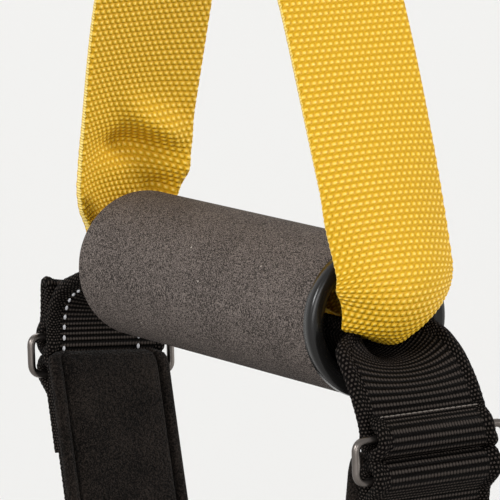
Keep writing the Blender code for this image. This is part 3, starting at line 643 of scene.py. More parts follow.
class Finish:
    """A material under construction."""

    def __init__(self, name):
        self.material = bpy.data.materials.new(name)
        self.material.use_nodes = True
        self.tree = self.material.node_tree
        self.shader = self.tree.nodes["Principled BSDF"]

    def node(self, kind, settings, sockets, output=0):
        """Add a node to this material and return one of its outputs."""
        return add_node(self.tree, kind, settings, sockets, output)

    def place(self):
        """Object coordinates, in metres."""
        return self.node("ShaderNodeTexCoord", {}, {}, "Object")

    def weave_place(self):
        """The band's own map: metres across it and along it."""
        where = self.node("ShaderNodeUVMap", {"uv_map": WEAVE_MAP}, {})
        return [self.node("ShaderNodeSeparateXYZ", {}, {0: where}, axis) for axis in (0, 1)]

    def noise(self, scale, detail):
        """Noise value in space."""
        return self.node(
            "ShaderNodeTexNoise", {"noise_dimensions": "3D"},
            {"Vector": self.place(), "Scale": scale, "Detail": detail, "Roughness": 0.5})

    def cells(self, scale, output):
        """Scattered cells in space: the distance to the nearest one, or its own colour."""
        return self.node(
            "ShaderNodeTexVoronoi", {"feature": "F1"},
            {"Vector": self.place(), "Scale": scale}, output)

    def blend(self, factor, low, high):
        """Colour between two colours."""
        return self.node(
            "ShaderNodeMix", {"data_type": "RGBA", "clamp_factor": True},
            {0: factor, 6: low, 7: high}, 2)

    def bump(self, height, distance):
        """Normal from a height in units of a distance."""
        return self.node(
            "ShaderNodeBump", {}, {"Strength": 1.0, "Distance": distance, "Height": height})

    def surface(self, **values):
        """Set or link the shader's sockets and return the material."""
        for key, value in values.items():
            put(self.tree, self.shader.inputs[key.replace("_", " ")], value)
        return self.material


def bead_height(across, along, wide, long, slant, stagger):
    """Rounded crossings of a weave, in rows along the band that may be staggered."""
    row = (along / long).floor()
    down = (along / long).fraction() - 0.5
    shift = (row * 0.5).fraction() * (2 * stagger) if stagger else 0.0
    over = (across / wide + shift + down * slant).fraction() - 0.5
    return (over * math.pi).cosine() * (down * math.pi).cosine()


def yellow_webbing(name, settings):
    """Tight yellow weave: staggered slanted crossings, beaded edges, painted shade between, painted
    highlight on tops and edges.
    """
    finish = Finish(name)
    across, along = finish.weave_place()
    edge = abs(across).eased(HALF_WIDTH - 0.0001, HALF_WIDTH + 0.0002)
    beads = bead_height(
        across, along, settings.cell_across, settings.cell_along, settings.slant, 0.5)
    rope = (((along / (0.5 * settings.cell_along)).fraction() - 0.5) * math.pi).cosine()
    height = beads * (1 - edge) + (rope * 0.5 + 0.5) * edge
    yarn = finish.noise(2600.0, 1.0)
    soft = finish.noise(42.0, 2.0)
    # Painted shade: where a crossing sinks, its colour falls towards the darker yellow put between
    # the crossings in place of the shade there
    lit = height.eased(0.15, 0.95)
    tone = lit * 0.9 + (yarn - 0.5) * 0.20 + (soft - 0.5) * 0.16 + edge * 0.2
    colour = finish.blend(tone, tuple(settings.yellow_painted_shade), tuple(settings.yellow))
    # Painted highlight: the tops of the crossings and both edges of the webbing are lightened
    # towards a pale yellow, here and by the edge term in tone above
    tops = (height.eased(0.65, 1.0) + edge) * 0.35
    return finish.surface(
        Base_Color=finish.blend(tops, colour, tuple(settings.yellow_painted_highlight)),
        Roughness=0.34 + (1 - lit) * 0.30, Specular_IOR_Level=0.40,
        Normal=finish.bump(height + (yarn - 0.5) * 0.10, settings.weave_depth))


def black_webbing(name, settings):
    """Cross-ribbed black weave with finely beaded cords along its edges and painted shade between
    the ribs and beads.
    """
    finish = Finish(name)
    across, along = finish.weave_place()
    edge = abs(across).eased(*cord_zone(settings))
    ribs = bead_height(across, along, settings.rib_bead, settings.rib_pitch, 0.0, 0.0)
    ridge = (((along / settings.rib_pitch).fraction() - 0.5) * math.pi).cosine()
    face = ridge * 0.60 + ribs * 0.40
    rope = bead_height(
        across, along, settings.rope_bead, settings.rope_bead * BEAD_LENGTH, 0.0, 0.5)
    height = face * (1 - edge) + rope * 1.1 * edge
    yarn = finish.noise(2400.0, 1.0)
    # Painted shade: rib and cord tops keep the weave's colour, and the gaps between them fall to a
    # near-black shade colour
    tone = height.eased(0.50, 1.0) * 0.95 + (yarn - 0.5) * 0.35
    return finish.surface(
        Base_Color=finish.blend(tone, tuple(settings.black_painted_shade), tuple(settings.black)),
        Roughness=0.60, Specular_IOR_Level=0.03,
        Normal=finish.bump(height + (yarn - 0.5) * 0.15, settings.rib_depth))


def grip_foam(name, settings):
    """Fine closed-cell foam: warm dark grey, mottled, with a few pale specks."""
    finish = Finish(name)
    fine = finish.noise(3000.0, 1.0)
    grain = finish.noise(1500.0, 1.0)
    broad = finish.noise(60.0, 2.0)
    tone = (fine - 0.5) * 4.6 + (grain - 0.5) * 1.2 + (broad - 0.5) * 0.5 + 0.42
    colour = finish.blend(tone, tuple(settings.foam_dark), tuple(settings.foam_light))
    chance = finish.node(
        "ShaderNodeSeparateColor", {}, {"Color": finish.cells(SPECK_CELLS, "Color")})
    speck = finish.cells(SPECK_CELLS, "Distance").eased(0.085, 0.045) * chance.above(0.82)
    return finish.surface(
        Base_Color=finish.blend(speck * 0.75, colour, SPECK_COLOUR),
        Roughness=0.80, Specular_IOR_Level=0.12,
        Normal=finish.bump(fine + grain * 0.6, settings.foam_depth))


def ring_plastic(name, settings):
    """Satin moulded nylon with faint marks in its gloss."""
    finish = Finish(name)
    marks = finish.noise(160.0, 3.0)
    return finish.surface(
        Base_Color=tuple(settings.ring_black), Roughness=0.18 + marks * 0.10,
        Normal=finish.bump(finish.noise(1500.0, 1.0), 0.00001), Specular_IOR_Level=0.28)


def coated_metal(name, colour, rough, metallic):
    """Coated or plated metal with slight wear in its colour and gloss."""
    finish = Finish(name)
    broad = finish.noise(90.0, 3.0)
    bare = tuple(share * 1.7 + 0.02 for share in colour)
    return finish.surface(
        Base_Color=finish.blend(broad.eased(0.55, 0.75) * 0.35, colour, bare),
        Metallic=metallic, Roughness=rough + (broad - 0.5) * 0.2,
        Normal=finish.bump(finish.noise(1400.0, 2.0), 0.000025), Specular_IOR_Level=0.5)


def pad_felt(name, settings):
    """Brushed felt: mottled brown-black nap."""
    finish = Finish(name)
    tufts = finish.noise(1400.0, 1.0)
    fibres = finish.noise(3000.0, 1.0)
    broad = finish.noise(70.0, 2.0)
    tone = (tufts - 0.5) * 1.3 + (fibres - 0.5) * 3.2 + (broad - 0.5) * 1.2 + 0.32
    return finish.surface(
        Base_Color=finish.blend(tone, tuple(settings.felt_dark), tuple(settings.felt_light)),
        Roughness=0.95, Specular_IOR_Level=0.05, Sheen_Weight=0.04, Sheen_Roughness=0.5,
        Normal=finish.bump(tufts + fibres * 0.5, settings.felt_depth))


def thread(name, colour):
    """Twisted sewing thread."""
    finish = Finish(name)
    twist = finish.noise(3200.0, 2.0)
    return finish.surface(
        Base_Color=finish.blend(twist, tuple(share * 0.6 for share in colour), colour),
        Roughness=0.6, Normal=finish.bump(twist, 0.00006), Specular_IOR_Level=0.4)


def material(name, maker, *values):
    """A finish by name, made once."""
    return bpy.data.materials.get(name) or maker(name, *values)


def steel(name):
    """A steel by its name in the list."""
    return material(name, coated_metal, *STEELS[name])


def sewing_thread(name):
    """A thread by its name in the list."""
    return material(name, thread, THREADS[name])


def stitch_tree():
    """Node tree that lays stitches along the edges of a mesh of lines."""
    tree = bpy.data.node_groups.get("Stitch rows")
    if tree:
        return tree
    tree = bpy.data.node_groups.new("Stitch rows", "GeometryNodeTree")
    sockets = {
        "Lines": "Geometry", "Pitch": "Float", "Stitch length": "Float",
        "Thread radius": "Float", "Thread": "Material",
    }
    for name, kind in sockets.items():
        tree.interface.new_socket(name=name, in_out="INPUT", socket_type="NodeSocket" + kind)
    tree.interface.new_socket(
        name="Stitches", in_out="OUTPUT", socket_type="NodeSocketGeometry")
    given = tree.nodes.new("NodeGroupInput")
    lines, pitch, length, radius, finish = (Val(tree, given.outputs[name]) for name in sockets)

    def node(kind, settings=None, **inputs):
        named = {key.replace("_", " "): value for key, value in inputs.items()}
        return add_node(tree, kind, settings or {}, named)

    curve = node("GeometryNodeMeshToCurve", Mesh=lines)
    rows = node("GeometryNodeResampleCurve", {"mode": "LENGTH"}, Curve=curve, Length=pitch)
    tangent = node("GeometryNodeInputTangent")
    turn = node("FunctionNodeAlignRotationToVector", {"axis": "X"}, Vector=tangent)
    ball = node("GeometryNodeMeshUVSphere", Segments=8, Rings=6, Radius=0.5)
    size = node("ShaderNodeCombineXYZ", X=length, Y=radius * 2.0, Z=radius * 2.0)
    stitch = node("GeometryNodeTransform", Geometry=ball, Scale=size)
    placed = node("GeometryNodeInstanceOnPoints", Points=rows, Instance=stitch, Rotation=turn)
    plain = node("GeometryNodeRealizeInstances", Geometry=placed)
    smooth = node("GeometryNodeSetShadeSmooth", Geometry=plain)
    dressed = node("GeometryNodeSetMaterial", Geometry=smooth, Material=finish)
    node("NodeGroupOutput", Stitches=dressed)
    return tree


def stitch_rows(name, lines, pitch, length, radius, finish, body):
    """Sew rows of stitches along lines of points, as one plain mesh."""
    points, edges = [], []
    for line in lines:
        start = len(points)
        points += line
        edges += [(index, index + 1) for index in range(start, len(points) - 1)]
    guide_mesh = bpy.data.meshes.new(name + "_lines")
    guide_mesh.from_pydata(points, edges, [])
    guide = bpy.data.objects.new(name + "_lines", guide_mesh)
    bpy.context.scene.collection.objects.link(guide)
    tree = stitch_tree()
    modifier = guide.modifiers.new("Stitches", "NODES")
    modifier.node_group = tree
    wanted = {
        "Pitch": pitch, "Stitch length": length, "Thread radius": radius, "Thread": finish,
    }
    for socket in tree.interface.items_tree:
        if socket.in_out == "INPUT" and socket.name in wanted:
            modifier[socket.identifier] = wanted[socket.name]
    guide.update_tag()
    mesh = shaped(guide)
    mesh.name = name
    bpy.data.objects.remove(guide)
    new_piece(name, mesh, finish, body, "black_webbing")


class TrainerWebbing(bpy.types.PropertyGroup):
    """Sizes and colours of the webbing."""

    yellow_thickness: FloatProperty(
        name="Yellow thickness", description="Thickness of the yellow webbing",
        default=(LOWER_HIGH.x - LOWER_LOW.x - TOUCH_GAP) / 2, unit="LENGTH")
    black_thickness: FloatProperty(
        name="Black thickness", description="Thickness of the black webbing",
        default=0.0019, unit="LENGTH")
    cell_across: FloatProperty(
        name="Cell width", description="Width of one crossing of the yellow weave",
        default=0.00185, unit="LENGTH")
    cell_along: FloatProperty(
        name="Cell length", description="Length of one crossing of the yellow weave",
        default=0.00166, unit="LENGTH")
    slant: FloatProperty(
        name="Slant", description="Lean of each crossing, as a share of its width", default=-0.18)
    weave_relief: FloatProperty(
        name="Weave relief", description="Height of the modelled crossings", default=0.00034,
        unit="LENGTH")
    weave_depth: FloatProperty(
        name="Weave depth", description="Height of the yellow weave", default=0.00042,
        unit="LENGTH")
    rib_pitch: FloatProperty(
        name="Rib pitch", description="Distance between the ribs of the black webbing",
        default=0.0016, unit="LENGTH")
    rib_bead: FloatProperty(
        name="Rib bead", description="Width of one crossing on a rib", default=0.00096,
        unit="LENGTH")
    rope: FloatProperty(
        name="Edge cord",
        description="Radius of the cord along each edge of the wide black webbing",
        default=0.00155, unit="LENGTH")
    rope_bead: FloatProperty(
        name="Cord bead", description="Width of one bead on an edge cord", default=0.00105,
        unit="LENGTH")
    rib_relief: FloatProperty(
        name="Rib relief", description="Height of the modelled ribs", default=0.00022,
        unit="LENGTH")
    rib_depth: FloatProperty(
        name="Rib depth", description="Height of the ribs", default=0.0004, unit="LENGTH")
    yellow: FloatVectorProperty(
        name="Yellow", description="Colour of the yellow weave", subtype="COLOR",
        default=(0.96, 0.610, 0.022))
    # Painted shade: colour put between the yellow crossings where they shade each other
    yellow_painted_shade: FloatVectorProperty(
        name="Yellow shade", description="Colour between the yellow crossings",
        subtype="COLOR", default=(0.66, 0.350, 0.001))
    # Painted highlight: colour put on the tops of the yellow crossings and on the webbing's edges
    yellow_painted_highlight: FloatVectorProperty(
        name="Yellow light", description="Colour of the tops of the yellow crossings",
        subtype="COLOR", default=(1.0, 0.82, 0.32))
    black: FloatVectorProperty(
        name="Black", description="Colour of the black weave", subtype="COLOR",
        default=(0.054, 0.044, 0.038))
    # Painted shade: near-black colour put between the black ribs and cord beads
    black_painted_shade: FloatVectorProperty(
        name="Black shade", description="Colour between the black ribs", subtype="COLOR",
        default=(0.0016, 0.0013, 0.0011))


class TrainerHandle(bpy.types.PropertyGroup):
    """Course of the yellow webbing through the grip and up to the junction."""

    lean: FloatProperty(
        name="Lean", description="Lean of each leg in degrees", default=24.0)
    bend: FloatProperty(
        name="Bend", description="Bend radius at each mouth", default=0.0158, unit="LENGTH")
    inset: FloatProperty(
        name="Bend inset", description="Start of the bend behind the grip's end",
        default=0.0012, unit="LENGTH")
    bore_drop: FloatProperty(
        name="Bore drop", description="Distance of the webbing below the grip's axis",
        default=0.0052, unit="LENGTH")
    bore_curl: FloatProperty(
        name="Bore curl", description="Radius of the curled webbing in the bore",
        default=0.0112, unit="LENGTH")
    mouth_curl: FloatProperty(
        name="Mouth curl", description="Radius of the curled webbing past the mouth",
        default=0.0160, unit="LENGTH")
    mouth_start: FloatProperty(
        name="Mouth start", description="Where the tight curl starts to open, inside the mouth",
        default=0.0010, unit="LENGTH")
    mouth_length: FloatProperty(
        name="Mouth length", description="Length over which the tight curl opens",
        default=0.0160, unit="LENGTH")
    open_length: FloatProperty(
        name="Open length", description="Length over which a leg becomes flat",
        default=0.100, unit="LENGTH")
    open_power: FloatProperty(
        name="Open power", description="How soon a leg becomes flat", default=1.4)
    ease: FloatProperty(
        name="Ease", description="Bend radius where a leg meets the junction",
        default=0.040, unit="LENGTH")


class TrainerGrip(bpy.types.PropertyGroup):
    """Sizes and colours of the grip."""

    bore: FloatProperty(
        name="Bore", description="Radius of the bore in the end rings", default=0.0150,
        unit="LENGTH")
    flare: FloatProperty(
        name="Flare", description="Width of the round mouth of an end ring", default=0.0042,
        unit="LENGTH")
    lip: FloatProperty(
        name="Lip", description="Radius of the round outer edge of an end ring",
        default=0.0016, unit="LENGTH")
    foam_round: FloatProperty(
        name="Foam rounding", description="Radius of the foam's end edges", default=0.0009,
        unit="LENGTH")
    foam_cover: FloatProperty(
        name="Foam cover", description="How far the foam reaches over the far ring",
        default=0.0032, unit="LENGTH")
    far_ring: FloatProperty(
        name="Far ring", description="Outer radius of the ring that the foam covers",
        default=0.0194, unit="LENGTH")
    foam_depth: FloatProperty(
        name="Foam grain", description="Height of the foam's grain", default=0.00022,
        unit="LENGTH")
    foam_light: FloatVectorProperty(
        name="Foam light", description="Lighter colour of the foam", subtype="COLOR",
        default=(0.202, 0.169, 0.151))
    foam_dark: FloatVectorProperty(
        name="Foam dark", description="Darker colour of the foam", subtype="COLOR",
        default=(0.024, 0.0190, 0.0165))
    ring_black: FloatVectorProperty(
        name="Ring black", description="Colour of the end rings", subtype="COLOR",
        default=(0.010, 0.0095, 0.009))


class TrainerCradle(bpy.types.PropertyGroup):
    """Sizes and colours of the foot cradle."""

    depth: FloatProperty(
        name="Depth", description="Distance of the pad strap's lowest point below the grip's axis",
        default=0.140, unit="LENGTH")
    radius: FloatProperty(
        name="Radius", description="Radius of the pad strap's lower bend", default=0.0783,
        unit="LENGTH")
    lean: FloatProperty(
        name="Lean", description="Lean of the pad strap's sides in degrees", default=12.0)
    bore_drop: FloatProperty(
        name="Bore drop", description="Distance of the webbing below the grip's axis",
        default=0.0108, unit="LENGTH")
    bore_curl: FloatProperty(
        name="Bore curl", description="Radius of the curled webbing in the bore",
        default=0.0134, unit="LENGTH")
    pad_rise: FloatProperty(
        name="Pad rise", description="How far the pad reaches above the lower bars",
        default=0.0050, unit="LENGTH")
    pad_depth: FloatProperty(
        name="Pad depth", description="Thickness of the pad", default=0.0055, unit="LENGTH")
    pad_edge: FloatProperty(
        name="Pad edge", description="Thickness of the pad at its ends", default=0.0030,
        unit="LENGTH")
    rod: FloatProperty(
        name="Ring rod", description="Radius of the rod of a cradle ring", default=0.0020,
        unit="LENGTH")
    wire: FloatProperty(
        name="Ring wire", description="Radius of the rod as it is seen, inside the same outline",
        default=0.0011, unit="LENGTH")
    hem_inset: FloatProperty(
        name="Hem inset", description="How much narrower the near hem is on each side",
        default=0.0018, unit="LENGTH")
    near_bend: FloatProperty(
        name="Near bend", description="Bend radius of the webbing at the near mouth",
        default=0.0140, unit="LENGTH")
    far_bend: FloatProperty(
        name="Far bend", description="Bend radius of the webbing at the far mouth",
        default=0.0110, unit="LENGTH")
    near_tail: FloatProperty(
        name="Near tail", description="Length of the near folded tail past its fold",
        default=0.0004, unit="LENGTH")
    far_tail: FloatProperty(
        name="Far tail", description="Height of the far hem past its fold",
        default=0.0072, unit="LENGTH")
    far_hem: FloatProperty(
        name="Far hem", description="Length of the far hem's outer layer", default=0.0120,
        unit="LENGTH")
    far_lean: FloatProperty(
        name="Far lean", description="Lean of the far hem towards the grip", default=0.22,
        subtype="ANGLE")
    pad_width: FloatProperty(
        name="Pad width", description="Width of the pad", default=0.0382, unit="LENGTH")
    pad_shift: FloatProperty(
        name="Pad shift", description="How far the pad sits to one side", default=0.0012,
        unit="LENGTH")
    pad_corner: FloatProperty(
        name="Pad corner", description="Radius of the pad's corners", default=0.0032,
        unit="LENGTH")
    felt_light: FloatVectorProperty(
        name="Felt light", description="Lighter colour of the pad's nap", subtype="COLOR",
        default=(0.026, 0.020, 0.0165))
    felt_dark: FloatVectorProperty(
        name="Felt dark", description="Darker colour of the pad's nap", subtype="COLOR",
        default=(0.0018, 0.0014, 0.0011))
    felt_depth: FloatProperty(
        name="Nap depth", description="Height of the pad's nap", default=0.0006,
        unit="LENGTH")


class TrainerStage(bpy.types.PropertyGroup):
    """Camera, lamps and floor."""

    azimuth: FloatProperty(
        name="Azimuth", description="Side from which the camera looks", default=60.4)
    elevation: FloatProperty(
        name="Elevation", description="Height of the camera above the horizon", default=8.8)
    roll: FloatProperty(
        name="Roll", description="Turn of the camera about its own axis", default=-1.8)
    distance: FloatProperty(
        name="Distance", description="Distance from the camera to the grip", default=1.4,
        unit="LENGTH")
    field: FloatProperty(
        name="Field", description="Width of the view at the grip", default=0.1352,
        unit="LENGTH")
    shift_right: FloatProperty(
        name="Right of grip", description="How far right of the grip the camera aims",
        default=-0.0012, unit="LENGTH")
    shift_up: FloatProperty(
        name="Above grip", description="How far above the grip the camera aims",
        default=0.0109, unit="LENGTH")
    floor_drop: FloatProperty(
        name="Floor drop", description="Depth of the floor below the cradle", default=0.16,
        unit="LENGTH")
    floor_size: FloatProperty(
        name="Floor size", description="Width of the floor", default=80.0, unit="LENGTH")
    floor_colour: FloatVectorProperty(
        name="Floor colour", description="Colour of the floor", subtype="COLOR",
        default=(0.82, 0.815, 0.80))
    backdrop: FloatVectorProperty(
        name="Backdrop", description="Colour behind the object", subtype="COLOR",
        default=(0.80, 0.80, 0.80))
    ambient: FloatProperty(
        name="Ambient", description="Strength of the even light from all around",
        default=0.34)


def handle_path(handle, thickness):
    """Half of the handle webbing, from the middle of the bore to the top of the junction."""
    tilt = math.radians(handle.lean)
    axis = HALF_GRIP - handle.inset
    path = Path(0, GRIP_Z - handle.bore_drop, 0)
    path.line(axis)
    path.arc(handle.bend, 90 + handle.lean)
    layer = thickness + TOUCH_GAP
    slant = (
        axis + handle.bend * math.cos(tilt) - layer - handle.ease * (1 - math.cos(tilt))
    ) / math.sin(tilt)
    path.line(slant)
    path.arc(handle.ease, -handle.lean)
    path.line(HANDLE_TOP - path.end[1])
    return path


def handle_curl(handle, away):
    """Curl of the handle webbing: tight in the bore, wide at the mouth, none up the leg."""
    mouth = 1 / handle.mouth_curl
    start = HALF_GRIP - handle.mouth_start
    inside = (1 / handle.bore_curl - mouth) * (1 - eased((away - start) / handle.mouth_length))
    share = min(max((away - HALF_GRIP) / handle.open_length, 0.0), 1.0)
    return inside + mouth * (1 - share) ** handle.open_power


class TRAINER_OT_handle_webbing(bpy.types.Operator):
    """Build the yellow webbing of the handle"""

    bl_idname = "trainer.handle_webbing"
    bl_label = "Handle webbing"

    def execute(self, context):
        settings = context.scene.trainer_webbing
        handle = context.scene.trainer_handle
        path = handle_path(handle, settings.yellow_thickness)
        free = path.length - 0.038
        steps = spaced(0, MOUTH, UNSEEN_STEP)
        steps += spaced(MOUTH, free, settings.cell_along / 2.5)[1:]
        steps += spaced(free, path.length, UNSEEN_STEP)[1:]
        half = [(*path.at(away), handle_curl(handle, away), away) for away in steps]

        def relief(distance, reach):
            """Crossings of the weave, where the webbing is seen."""
            seen = (np.abs(distance) > MOUTH) & (np.abs(distance) < free)
            return settings.weave_relief * seen * bead_field(
                reach, distance, settings.cell_across, settings.cell_along, settings.slant, 0.5)

        band_piece(
            "handle_webbing", material("Yellow webbing", yellow_webbing, settings), "lower",
            "yellow_webbing", both_halves(half, half), WEB_WIDTH, settings.yellow_thickness,
            step=settings.cell_across / 3, relief=relief, shift=leg_folds(settings))
        return {"FINISHED"}


class TRAINER_OT_lower_strap(bpy.types.Operator):
    """Build the yellow strap that runs through the buckle"""

    bl_idname = "trainer.lower_strap"
    bl_label = "Lower strap"

    def execute(self, context):
        settings = context.scene.trainer_webbing
        thickness = settings.yellow_thickness
        fold = (thickness + TOUCH_GAP) / 2
        top = LOWER_HIGH.z - thickness / 2 - fold
        path = Path(2 * fold, top - HEM_LENGTH, 90)
        path.line(HEM_LENGTH).arc(fold, 180).line(top - LOWER_LOW.z)
        band_piece(
            "lower_strap", material("Yellow webbing", yellow_webbing, settings), "lower",
            "yellow_webbing", plain_stations(path), WEB_WIDTH, thickness, step=0.0014)
        return {"FINISHED"}


def folded_tail(path, bar, thickness, ease, hold, side):
    """Carry a path round a bar and back until it lies one layer from itself."""
    layer = thickness + TOUCH_GAP
    wrap = bar + TOUCH_GAP + thickness / 2
    tilt = math.radians(hold)
    slant = (wrap + wrap * math.cos(tilt) - ease * (1 - math.cos(tilt)) - layer) / math.sin(tilt)
    path.arc(wrap, side * (180 + hold))
    path.line(slant)
    path.arc(ease, -side * hold)
    return path


class TRAINER_OT_upper_strap(bpy.types.Operator):
    """Build the black strap and the loop on the carabiner"""

    bl_idname = "trainer.upper_strap"
    bl_label = "Upper strap"

    def execute(self, context):
        settings = context.scene.trainer_webbing
        thickness = settings.black_thickness
        finish = material("Black webbing", black_webbing, settings)
        wrap = BUCKLE_BAR + TOUCH_GAP + thickness / 2
        front = UPPER_HIGH.x - thickness / 2
        path = Path(front, UPPER_HIGH.z, -90)
        path.line(UPPER_HIGH.z - UPPER_LOW.z - wrap - thickness / 2)
        folded_tail(path, BUCKLE_BAR, thickness, ease=0.006, hold=25, side=-1).line(BUCKLE_TAIL)
        band_piece(
            "upper_strap", finish, "upper", "black_webbing", plain_stations(path), WEB_WIDTH,
            thickness, step=0.0015)
        self.loop(finish, thickness, front)
        return {"FINISHED"}

    def loop(self, finish, thickness, middle):
        """Loop round the carabiner's lower bow."""
        layer = thickness + TOUCH_GAP
        round_bow = LOOP_HIGH.x - thickness / 2
        hold = 25
        tilt = math.radians(hold)
        ease = 0.008
        level = round_bow * math.cos(tilt) - ease * (1 - math.cos(tilt))
        turned = (round_bow + ease) * math.sin(tilt)
        bow = LOOP_HIGH.z - thickness / 2 - round_bow
        slants = [(level - side * middle - layer) / math.sin(tilt) for side in (1, -1)]
        legs = [bow - LOOP_LOW.z - turned - slant * math.cos(tilt) for slant in slants]
        path = Path(middle + layer, LOOP_LOW.z, 90)
        path.line(legs[0]).arc(ease, -hold).line(slants[0])
        path.arc(round_bow, 180 + 2 * hold)
        path.line(slants[1]).arc(ease, -hold).line(legs[1])
        band_piece(
            "anchor_loop", finish, "upper", "black_webbing", plain_stations(path),
            LOOP_HIGH.y - LOOP_LOW.y, thickness, step=0.0015)


class TRAINER_OT_grip(bpy.types.Operator):
    """Build the foam grip, its tube and its end rings"""

    bl_idname = "trainer.grip"
    bl_label = "Grip"

    def execute(self, context):
        settings = context.scene.trainer_grip
        plastic = material("Ring plastic", ring_plastic, settings)
        new_piece(
            "grip_foam_finish", turned_mesh("grip_foam_finish", self.foam_profile(settings)),
            material("Grip foam", grip_foam, settings), "grip", "grip_foam", "grip_foam")
        near_outer = (RING_HIGH.z - RING_LOW.z) / 2
        meshes = {"grip_tube": merged_copy("grip_tube_finish", "grip_tube")}
        shade(meshes["grip_tube"], 40)
        for name, side, outer in (
            ("end_ring_near", 1, near_outer), ("end_ring_far", -1, settings.far_ring),
        ):
            profile = [(side * x, radius) for x, radius in self.ring_profile(settings, outer)]
            meshes[name] = turned_mesh(name + "_finish", profile)
        for name, mesh in meshes.items():
            new_piece(name + "_finish", mesh, plastic, "grip", "black_plastic", name)
        return {"FINISHED"}

    @staticmethod
    def foam_profile(settings):
        """Foam sleeve with soft end edges, reaching over the far ring."""
        outer = (FOAM_HIGH.z - FOAM_LOW.z) / 2
        inner = (TUBE_HIGH.z - TUBE_LOW.z) / 2 + TOUCH_GAP
        end, edge = FOAM_HIGH.x, settings.foam_round
        far = -end - settings.foam_cover
        recess = settings.far_ring + TOUCH_GAP
        points = [(far + CHAMFER, recess), (-end, recess), (-end, inner)]
        points += [(x, inner) for x in spaced(-end + 0.002, end - 0.002, 0.01)]
        points.append((end - CHAMFER, inner))
        points += arc_points(end - edge, outer - edge, edge, edge, 0, 90, 15)
        points += [(x, outer) for x in spaced(end - 0.004, far + 0.006, -0.004)]
        return points + arc_points(
            far + 2 * edge, outer - edge, -2 * edge, edge, 90, 0, -15)

    @staticmethod
    def ring_profile(settings, outer):
        """Spigot, round flared mouth, flat face and round lip."""
        back, spigot = FOAM_HIGH.x + FLANGE_GAP, RING_LOW.x
        flare, lip = settings.flare, settings.lip
        tube_inner = settings.bore + RING_WALL
        points = [(spigot, tube_inner), (spigot, settings.bore)]
        points += arc_points(
            HALF_GRIP - flare, settings.bore + flare, flare, flare, -90, 0, 10)
        points += arc_points(HALF_GRIP - lip, outer - lip, lip, lip, 0, 90, 10)
        return points + [(back + CHAMFER, outer), (back, outer - CHAMFER), (back, tube_inner)]


def bar_offset(ring):
    """Middle of a cradle ring's rod along X."""
    low, high = ring
    return (low.x + high.x) / 2


def cradle_half(settings, thickness, bend, tail, hem, ring):
    """Function of distance for half of the cradle webbing, its main run and its full length."""
    wrap = settings.rod + TOUCH_GAP + thickness / 2
    path = Path(0, GRIP_Z - settings.bore_drop, 0)
    path.line(abs(bar_offset(ring)) - wrap - bend).arc(bend, -90)
    path.line(path.end[1] - (ring[1].z - settings.rod))
    ease, hold = (0.003, 40) if hem else (0.002, 60)
    fold = folded_tail(Path(0, 0, 0), settings.rod, thickness, ease, hold, 1).line(tail)
    if hem:
        fold.arc((thickness + TOUCH_GAP) / 2, -180).line(hem)
    full = 1 / settings.bore_curl
    open_length = path.length - 0.003 - MOUTH
    bar_x, bar_z, bar_heading = path.end

    def curl_at(distance):
        return full * (1 - eased((distance - MOUTH) / open_length))

    def station(distance):
        if distance <= path.length:
            x, z, heading = path.at(distance)
            return x, z, heading, curl_at(distance), distance
        along, off, turn = fold.at(distance - path.length)
        x, z, heading = path.at(path.length + along)
        curl = curl_at(path.length + along)
        if hem:
            heading = bar_heading + settings.far_lean * eased(-along / HEM_TURN)
            x = bar_x + math.cos(heading) * along
            z = bar_z + math.sin(heading) * along
            curl = 0.4 * curl
        flip = math.cos(turn)
        return (
            x - math.sin(heading) * off, z + math.cos(heading) * off, heading + turn,
            flip * curl / (1 - curl * off), distance,
        )

    return station, path.length, path.length + fold.length


